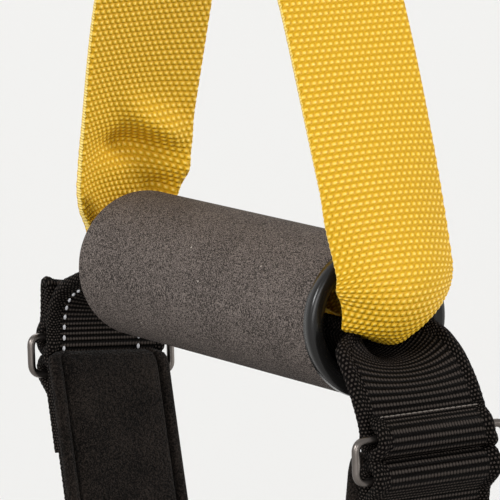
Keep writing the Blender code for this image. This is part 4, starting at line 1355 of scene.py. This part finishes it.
class TRAINER_OT_cradle_webbing(bpy.types.Operator):
    """Build the black webbing of the foot cradle and its rings"""

    bl_idname = "trainer.cradle_webbing"
    bl_label = "Cradle webbing"

    def execute(self, context):
        webbing, cradle = context.scene.trainer_webbing, context.scene.trainer_cradle
        thickness = webbing.black_thickness
        near, near_main, near_length = cradle_half(
            cradle, thickness, cradle.near_bend, cradle.near_tail, 0.0, NEAR_RING)
        far, far_main, far_length = cradle_half(
            cradle, thickness, cradle.far_bend, cradle.far_tail, cradle.far_hem, FAR_RING)
        bore = HALF_GRIP - 0.028
        ends = spaced(bore, far_length, RIBBED_STEP)
        stations = [mirrored(far(distance)) for distance in reversed(ends)]
        for distance in spaced(-bore, bore, UNSEEN_STEP)[1:-1]:
            stations.append(near(distance) if distance > 0 else mirrored(near(-distance)))
        stations += [near(distance) for distance in spaced(bore, near_length, RIBBED_STEP)]

        def settle(distance, reach, normal_x, normal_z):
            """Gather at the near mouth, draw in the near hem and drop the far end's right side."""
            left = left_share(reach)
            side = 0.0070 * left * window(distance, *NEAR_GATHER)
            side = side - 0.0008 * left * mound(distance, *NEAR_WIDE)
            edge = np.clip(np.abs(reach) / HALF_WIDTH, 0.0, 1.0) ** 2
            back = 0.0036 * edge * window(distance, *NEAR_BOW)
            hem = smooth_step(distance - near_main, *HEM_NARROWS)
            narrow = cradle.hem_inset * hem * reach / HALF_WIDTH
            return vectors(
                -back, side - narrow, -askew(reach, smooth_step(-distance, *FAR_TWIST)))

        band_piece(
            "cradle_webbing", material("Black webbing", black_webbing, webbing), TWISTING,
            "black_webbing", stations, WEB_WIDTH, thickness, step=0.0006,
            relief=ribbed(webbing), rope=webbing.rope, shift=settle)
        self.ring(cradle, "cradle_ring_near", NEAR_RING, 0.0)
        self.ring(cradle, "cradle_ring_far", FAR_RING, 1.0)
        self.stitches(far, far_main, thickness)
        self.hem_thread(near, near_length, thickness, cradle)
        return {"FINISHED"}

    def ring(self, cradle, name, box, tilt):
        """Rectangular ring bent from round rod."""
        low, high = box
        rod = cradle.wire
        top, foot, half = high.z - rod, low.z + rod, high.y - rod
        outline = rounded([(half, top), (-half, top), (-half, foot), (half, foot)], RING_CORNER)
        centres = [Vector((bar_offset(box), y, z)) for y, z in outline]
        flat = Vector((1, 0, 0))
        turns = [ROUND_TURN * step / ROD_SIDES for step in range(ROD_SIDES)]
        rows = []
        for index, centre in enumerate(centres):
            ahead = centres[(index + 1) % len(centres)] - centres[index - 1]
            side = flat.cross(ahead.normalized())
            rows.append([
                tuple(centre + rod * (math.cos(turn) * flat + math.sin(turn) * side))
                for turn in turns
            ])
        points = np.array(rows)
        points[:, :, 2] -= askew(points[:, :, 1], tilt)
        mesh = grid_mesh(name + "_finish", points, points[:, :, :2], closed_along=True)
        new_piece(name + "_finish", mesh, steel("Ring steel"), "cradle", "dark_steel", name)

    def stitches(self, far, far_main, thickness):
        """Two lengthwise rows of pale stitches on the far end."""
        lift = -thickness / 2 - 0.00035
        start, end = (far_main + place for place in ROW_ENDS)
        lines = []
        for reach in ROW_PLACES:
            line = []
            for distance in spaced(start, end, 0.001):
                point = band_point(mirrored(far(distance)), reach, lift)
                point.z -= askew(reach, smooth_step(distance, *FAR_TWIST))
                line.append(point)
            lines.append(line)
        stitch_rows(
            "far_webbing_stitches", lines, pitch=0.0029, length=0.0017, radius=0.00042,
            finish=sewing_thread("Pale thread"), body=TWISTING)

    def hem_thread(self, near, near_length, thickness, cradle):
        """Fine thread round the near hem."""
        reach = HALF_WIDTH - cradle.hem_inset - 0.0016
        lift = -thickness / 2 - 0.0002
        end = near_length - 0.0006
        line = [
            band_point(near(distance), -reach, lift)
            for distance in spaced(near_length - 0.0070, end, 0.0008)
        ]
        line += [
            band_point(near(end), across, lift) for across in spaced(-reach, reach, 0.001)[1:]]
        stitch_rows(
            "near_hem_thread", [line], pitch=0.0016, length=0.0017, radius=0.00020,
            finish=sewing_thread("Brown thread"), body="cradle")


class TRAINER_OT_foot_pad(bpy.types.Operator):
    """Build the foot pad and the strap under it"""

    bl_idname = "trainer.foot_pad"
    bl_label = "Foot pad"

    def execute(self, context):
        webbing, cradle = context.scene.trainer_webbing, context.scene.trainer_cradle
        thickness = webbing.black_thickness
        far_length = pad_path(cradle, thickness, FAR_RING).length
        hang = (far_length - 0.070, far_length - 0.005)

        def settle(distance, reach, normal_x, normal_z):
            """Drop the far end's right side with its ring."""
            return vectors(0.0, 0.0, -askew(reach, smooth_step(-distance, *hang)))

        band_piece(
            "pad_strap", material("Black webbing", black_webbing, webbing), "cradle",
            "black_webbing", self.strap(cradle, thickness), WEB_WIDTH, thickness, step=0.0008,
            relief=ribbed(webbing), rope=webbing.rope, shift=settle)
        self.pad(cradle, thickness, hang)
        return {"FINISHED"}

    def strap(self, cradle, thickness):
        """Stations of the strap that passes under the pad and round both lower bars."""
        halves = []
        for ring in (FAR_RING, NEAR_RING):
            path = pad_path(cradle, thickness, ring)
            folded_tail(path, cradle.rod, thickness, ease=0.003, hold=40, side=-1)
            path.line(PAD_STRAP_TAIL)
            halves.append([
                (*path.at(distance), 0.0, distance)
                for distance in spaced(0, path.length, RIBBED_STEP)
            ])
        return both_halves(*halves)

    def pad(self, cradle, thickness, hang):
        """Felt-covered pad: crowned across, drawn in at its edges, with a sewn border."""
        seat = thickness / 2 + TOUCH_GAP
        near = pad_path(cradle, thickness, NEAR_RING)
        far = pad_path(cradle, thickness, FAR_RING)
        start, end = -far.length - cradle.pad_rise, near.length + cradle.pad_rise
        section = pad_section()
        rows, uv = [], []
        for distance in spaced(start, end, PLAIN_STEP):
            x, z, heading = (near if distance > 0 else far).at(abs(distance))
            if distance < 0:
                x, heading = -x, -heading
            from_end = max(min(distance - start, end - distance), 0.0)
            full = cradle.pad_edge + (cradle.pad_depth - cradle.pad_edge) * math.sqrt(
                min(from_end / PAD_TAPER, 1.0))
            corner = 1 - min(from_end / cradle.pad_corner, 1.0)
            half = cradle.pad_width / 2 - cradle.pad_corner * (1 - math.sqrt(1 - corner ** 2))
            drop = float(smooth_step(-distance, *hang))
            row = []
            for across, height in section:
                lift = seat + full * height
                y = across * half - cradle.pad_shift
                low = askew(y, drop)
                row.append((x - lift * math.sin(heading), y, z + lift * math.cos(heading) - low))
            rows.append(row)
            uv.append([(across * half, distance) for across, _ in section])
        mesh = grid_mesh(
            "cradle_pad_felt", np.array(rows), np.array(uv),
            end_faces=[tuple(range(len(section)))])
        felt = material("Pad felt", pad_felt, cradle)
        piece = new_piece("cradle_pad_felt", mesh, felt, "cradle", "pad_felt", "cradle_pad")


def pad_path(cradle, thickness, ring):
    """Half of the pad strap, from its lowest point to the level of a ring's lower bar."""
    wrap = cradle.rod + TOUCH_GAP + thickness / 2
    lean = math.radians(cradle.lean)
    path = Path(0, GRIP_Z - cradle.depth, 0)
    path.arc(cradle.radius, 90 - cradle.lean)
    rise = ring[0].z + cradle.rod + wrap * math.sin(lean) - path.end[1]
    return path.line(rise / math.cos(lean))


def pad_section():
    """Outline of the pad's section in shares of its half width and of its thickness."""
    border = arc_points(0.90, 0.48, 0.10, 0.37, -20, 180, 20)
    panel = [(0.785, 0.62), (0.765, 0.80), (0.72, 0.91), (0.62, 0.97), (0.45, 1.0), (0.22, 1.02)]
    right = border + panel
    left = [(-across, height) for across, height in reversed(right)]
    return right + [(0.0, 1.02)] + left + [(-0.9, 0.0), (-0.3, 0.0), (0.3, 0.0), (0.9, 0.0)]


class TRAINER_OT_fittings(bpy.types.Operator):
    """Finish the carabiner, the buckle and the sewn bands"""

    bl_idname = "trainer.fittings"
    bl_label = "Fittings"

    def execute(self, context):
        webbing = context.scene.trainer_webbing
        dark, bright = steel("Dark steel"), steel("Plated steel")
        cloth = material("Black webbing", black_webbing, webbing)
        for node, body, finish, slot, edge in (
            ("carabiner_body", "carabiner", dark, "dark_steel", 0.0),
            ("carabiner_gate", "gate", dark, "dark_steel", 0.0),
            ("gate_pin", "carabiner", bright, "plated_steel", 0.0002),
            ("buckle_frame", "upper", dark, "dark_steel", 0.0004),
            ("cam_lever", "cam", dark, "dark_steel", 0.0002),
            ("cam_pin", "upper", bright, "plated_steel", 0.0003),
            ("cam_spring", "upper", bright, "plated_steel", 0.0),
            ("adjuster_tab", "lower", cloth, "black_webbing", 0.0005),
            ("junction_patch", "lower", cloth, "black_webbing", 0.0005),
        ):
            mesh = merged_copy(node + "_finish", node, dissolve=edge > 0)
            layer = mesh.uv_layers.new(name=WEAVE_MAP)
            for polygon in mesh.polygons:
                for loop in polygon.loop_indices:
                    point = mesh.vertices[mesh.loops[loop].vertex_index].co
                    layer.data[loop].uv = (point.y, point.z)
            piece = new_piece(node + "_finish", mesh, finish, body, slot, node)
            if edge:
                softened(piece, edge)
            else:
                shade(mesh, 40)
        return {"FINISHED"}


class TRAINER_OT_stage(bpy.types.Operator):
    """Set up the floor, the lamps and the camera"""

    bl_idname = "trainer.stage"
    bl_label = "Stage"

    def execute(self, context):
        settings = context.scene.trainer_stage
        self.floor(settings)
        self.world(settings)
        self.lamps()
        self.camera(context, settings)
        context.scene.view_settings.view_transform = "Standard"
        return {"FINISHED"}

    def floor(self, settings):
        """Plain pale floor below the strap."""
        half = settings.floor_size / 2
        level = CAD_BOX[0].z - settings.floor_drop
        mesh = bpy.data.meshes.new("floor")
        mesh.from_pydata(
            [(-half, -half, level), (half, -half, level), (half, half, level),
             (-half, half, level)], [], [(0, 1, 2, 3)])
        finish = Finish("Floor")
        unseen = tuple(share * 0.3 for share in settings.floor_colour)
        colour = finish.blend(seen_rays(finish.tree), unseen, tuple(settings.floor_colour))
        mesh.materials.append(finish.surface(Base_Color=colour, Roughness=0.9))
        floor = bpy.data.objects.new("floor", mesh)
        bpy.context.scene.collection.objects.link(floor)

    def world(self, settings):
        """Soft even light, and a pale backdrop behind the object."""
        world = bpy.data.worlds.new("Studio")
        world.use_nodes = True
        tree = world.node_tree
        tree.nodes.clear()
        soft, backdrop = (
            add_node(tree, "ShaderNodeBackground", {}, {"Color": colour, "Strength": strength})
            for colour, strength in (
                ((1.0, 1.0, 1.0), settings.ambient), (tuple(settings.backdrop), 1.0))
        )
        light = add_node(
            tree, "ShaderNodeMixShader", {}, {0: seen_rays(tree), 1: soft, 2: backdrop})
        add_node(tree, "ShaderNodeOutputWorld", {}, {"Surface": light})
        bpy.context.scene.world = world

    def lamps(self):
        """Distant soft lamps from both sides, from the front, and from behind and above."""
        for name, azimuth, elevation, softness, power in LAMPS:
            data = bpy.data.lights.new(name, "SUN")
            data.energy = power
            data.angle = math.radians(softness)
            lamp = bpy.data.objects.new(name, data)
            toward = outward(azimuth, elevation)
            lamp.location = Vector((0, 0, GRIP_Z)) + toward * 2
            lamp.rotation_euler = (-toward).to_track_quat("-Z", "Y").to_euler()
            bpy.context.scene.collection.objects.link(lamp)

    def camera(self, context, settings):
        """Long lens from the photographed side."""
        data = bpy.data.cameras.new("camera")
        data.sensor_width = 36.0
        data.lens = data.sensor_width * settings.distance / settings.field
        data.clip_start, data.clip_end = 0.05, 200.0
        back = outward(settings.azimuth, settings.elevation)
        turn = (-back).to_track_quat("-Z", "Y").to_matrix()
        turn = turn @ Matrix.Rotation(math.radians(settings.roll), 3, "Z")
        aim = Vector((0, 0, GRIP_Z))
        aim += turn @ Vector((settings.shift_right, settings.shift_up, 0))
        camera = bpy.data.objects.new("camera", data)
        camera.location = aim + back * settings.distance
        camera.rotation_euler = turn.to_euler()
        context.scene.collection.objects.link(camera)
        context.scene.camera = camera


def seen_rays(tree):
    """1 for rays from the camera, off gloss or through glass, else 0."""
    names = ("Is Camera Ray", "Is Glossy Ray", "Is Transmission Ray")
    camera, gloss, glass = (
        add_node(tree, "ShaderNodeLightPath", {}, {}, name) for name in names)
    return camera.most(gloss).most(glass)


def outward(azimuth, elevation):
    """Direction from the object towards a viewer."""
    a, e = math.radians(azimuth), math.radians(elevation)
    return Vector((math.sin(a) * math.cos(e), -math.cos(a) * math.cos(e), math.sin(e)))


class TRAINER_PT_panel(bpy.types.Panel):
    """Sidebar panel that lists the trainer's pieces"""

    bl_label = "Suspension trainer"
    bl_space_type = "VIEW_3D"
    bl_region_type = "UI"
    bl_category = "Trainer"

    def draw(self, context):
        for operator in OPERATORS:
            self.layout.operator(operator.bl_idname)


GROUPS = {
    "trainer_webbing": TrainerWebbing,
    "trainer_handle": TrainerHandle,
    "trainer_grip": TrainerGrip,
    "trainer_cradle": TrainerCradle,
    "trainer_stage": TrainerStage,
}
OPERATORS = (
    TRAINER_OT_stage,
    TRAINER_OT_handle_webbing,
    TRAINER_OT_lower_strap,
    TRAINER_OT_upper_strap,
    TRAINER_OT_grip,
    TRAINER_OT_cradle_webbing,
    TRAINER_OT_foot_pad,
    TRAINER_OT_fittings,
)


def register():
    """Register the settings, the operators and the panel."""
    for name, group in GROUPS.items():
        bpy.utils.register_class(group)
        setattr(bpy.types.Scene, name, PointerProperty(type=group))
    for operator in OPERATORS:
        bpy.utils.register_class(operator)
    bpy.utils.register_class(TRAINER_PT_panel)


def unregister():
    """Remove the panel, the operators and the settings."""
    bpy.utils.unregister_class(TRAINER_PT_panel)
    for operator in reversed(OPERATORS):
        bpy.utils.unregister_class(operator)
    for name, group in reversed(GROUPS.items()):
        delattr(bpy.types.Scene, name)
        bpy.utils.unregister_class(group)


def main():
    """Build every piece in order."""
    register()
    for operator in OPERATORS:
        group, action = operator.bl_idname.split(".")
        getattr(getattr(bpy.ops, group), action)()


if __name__ == "__main__":
    main()
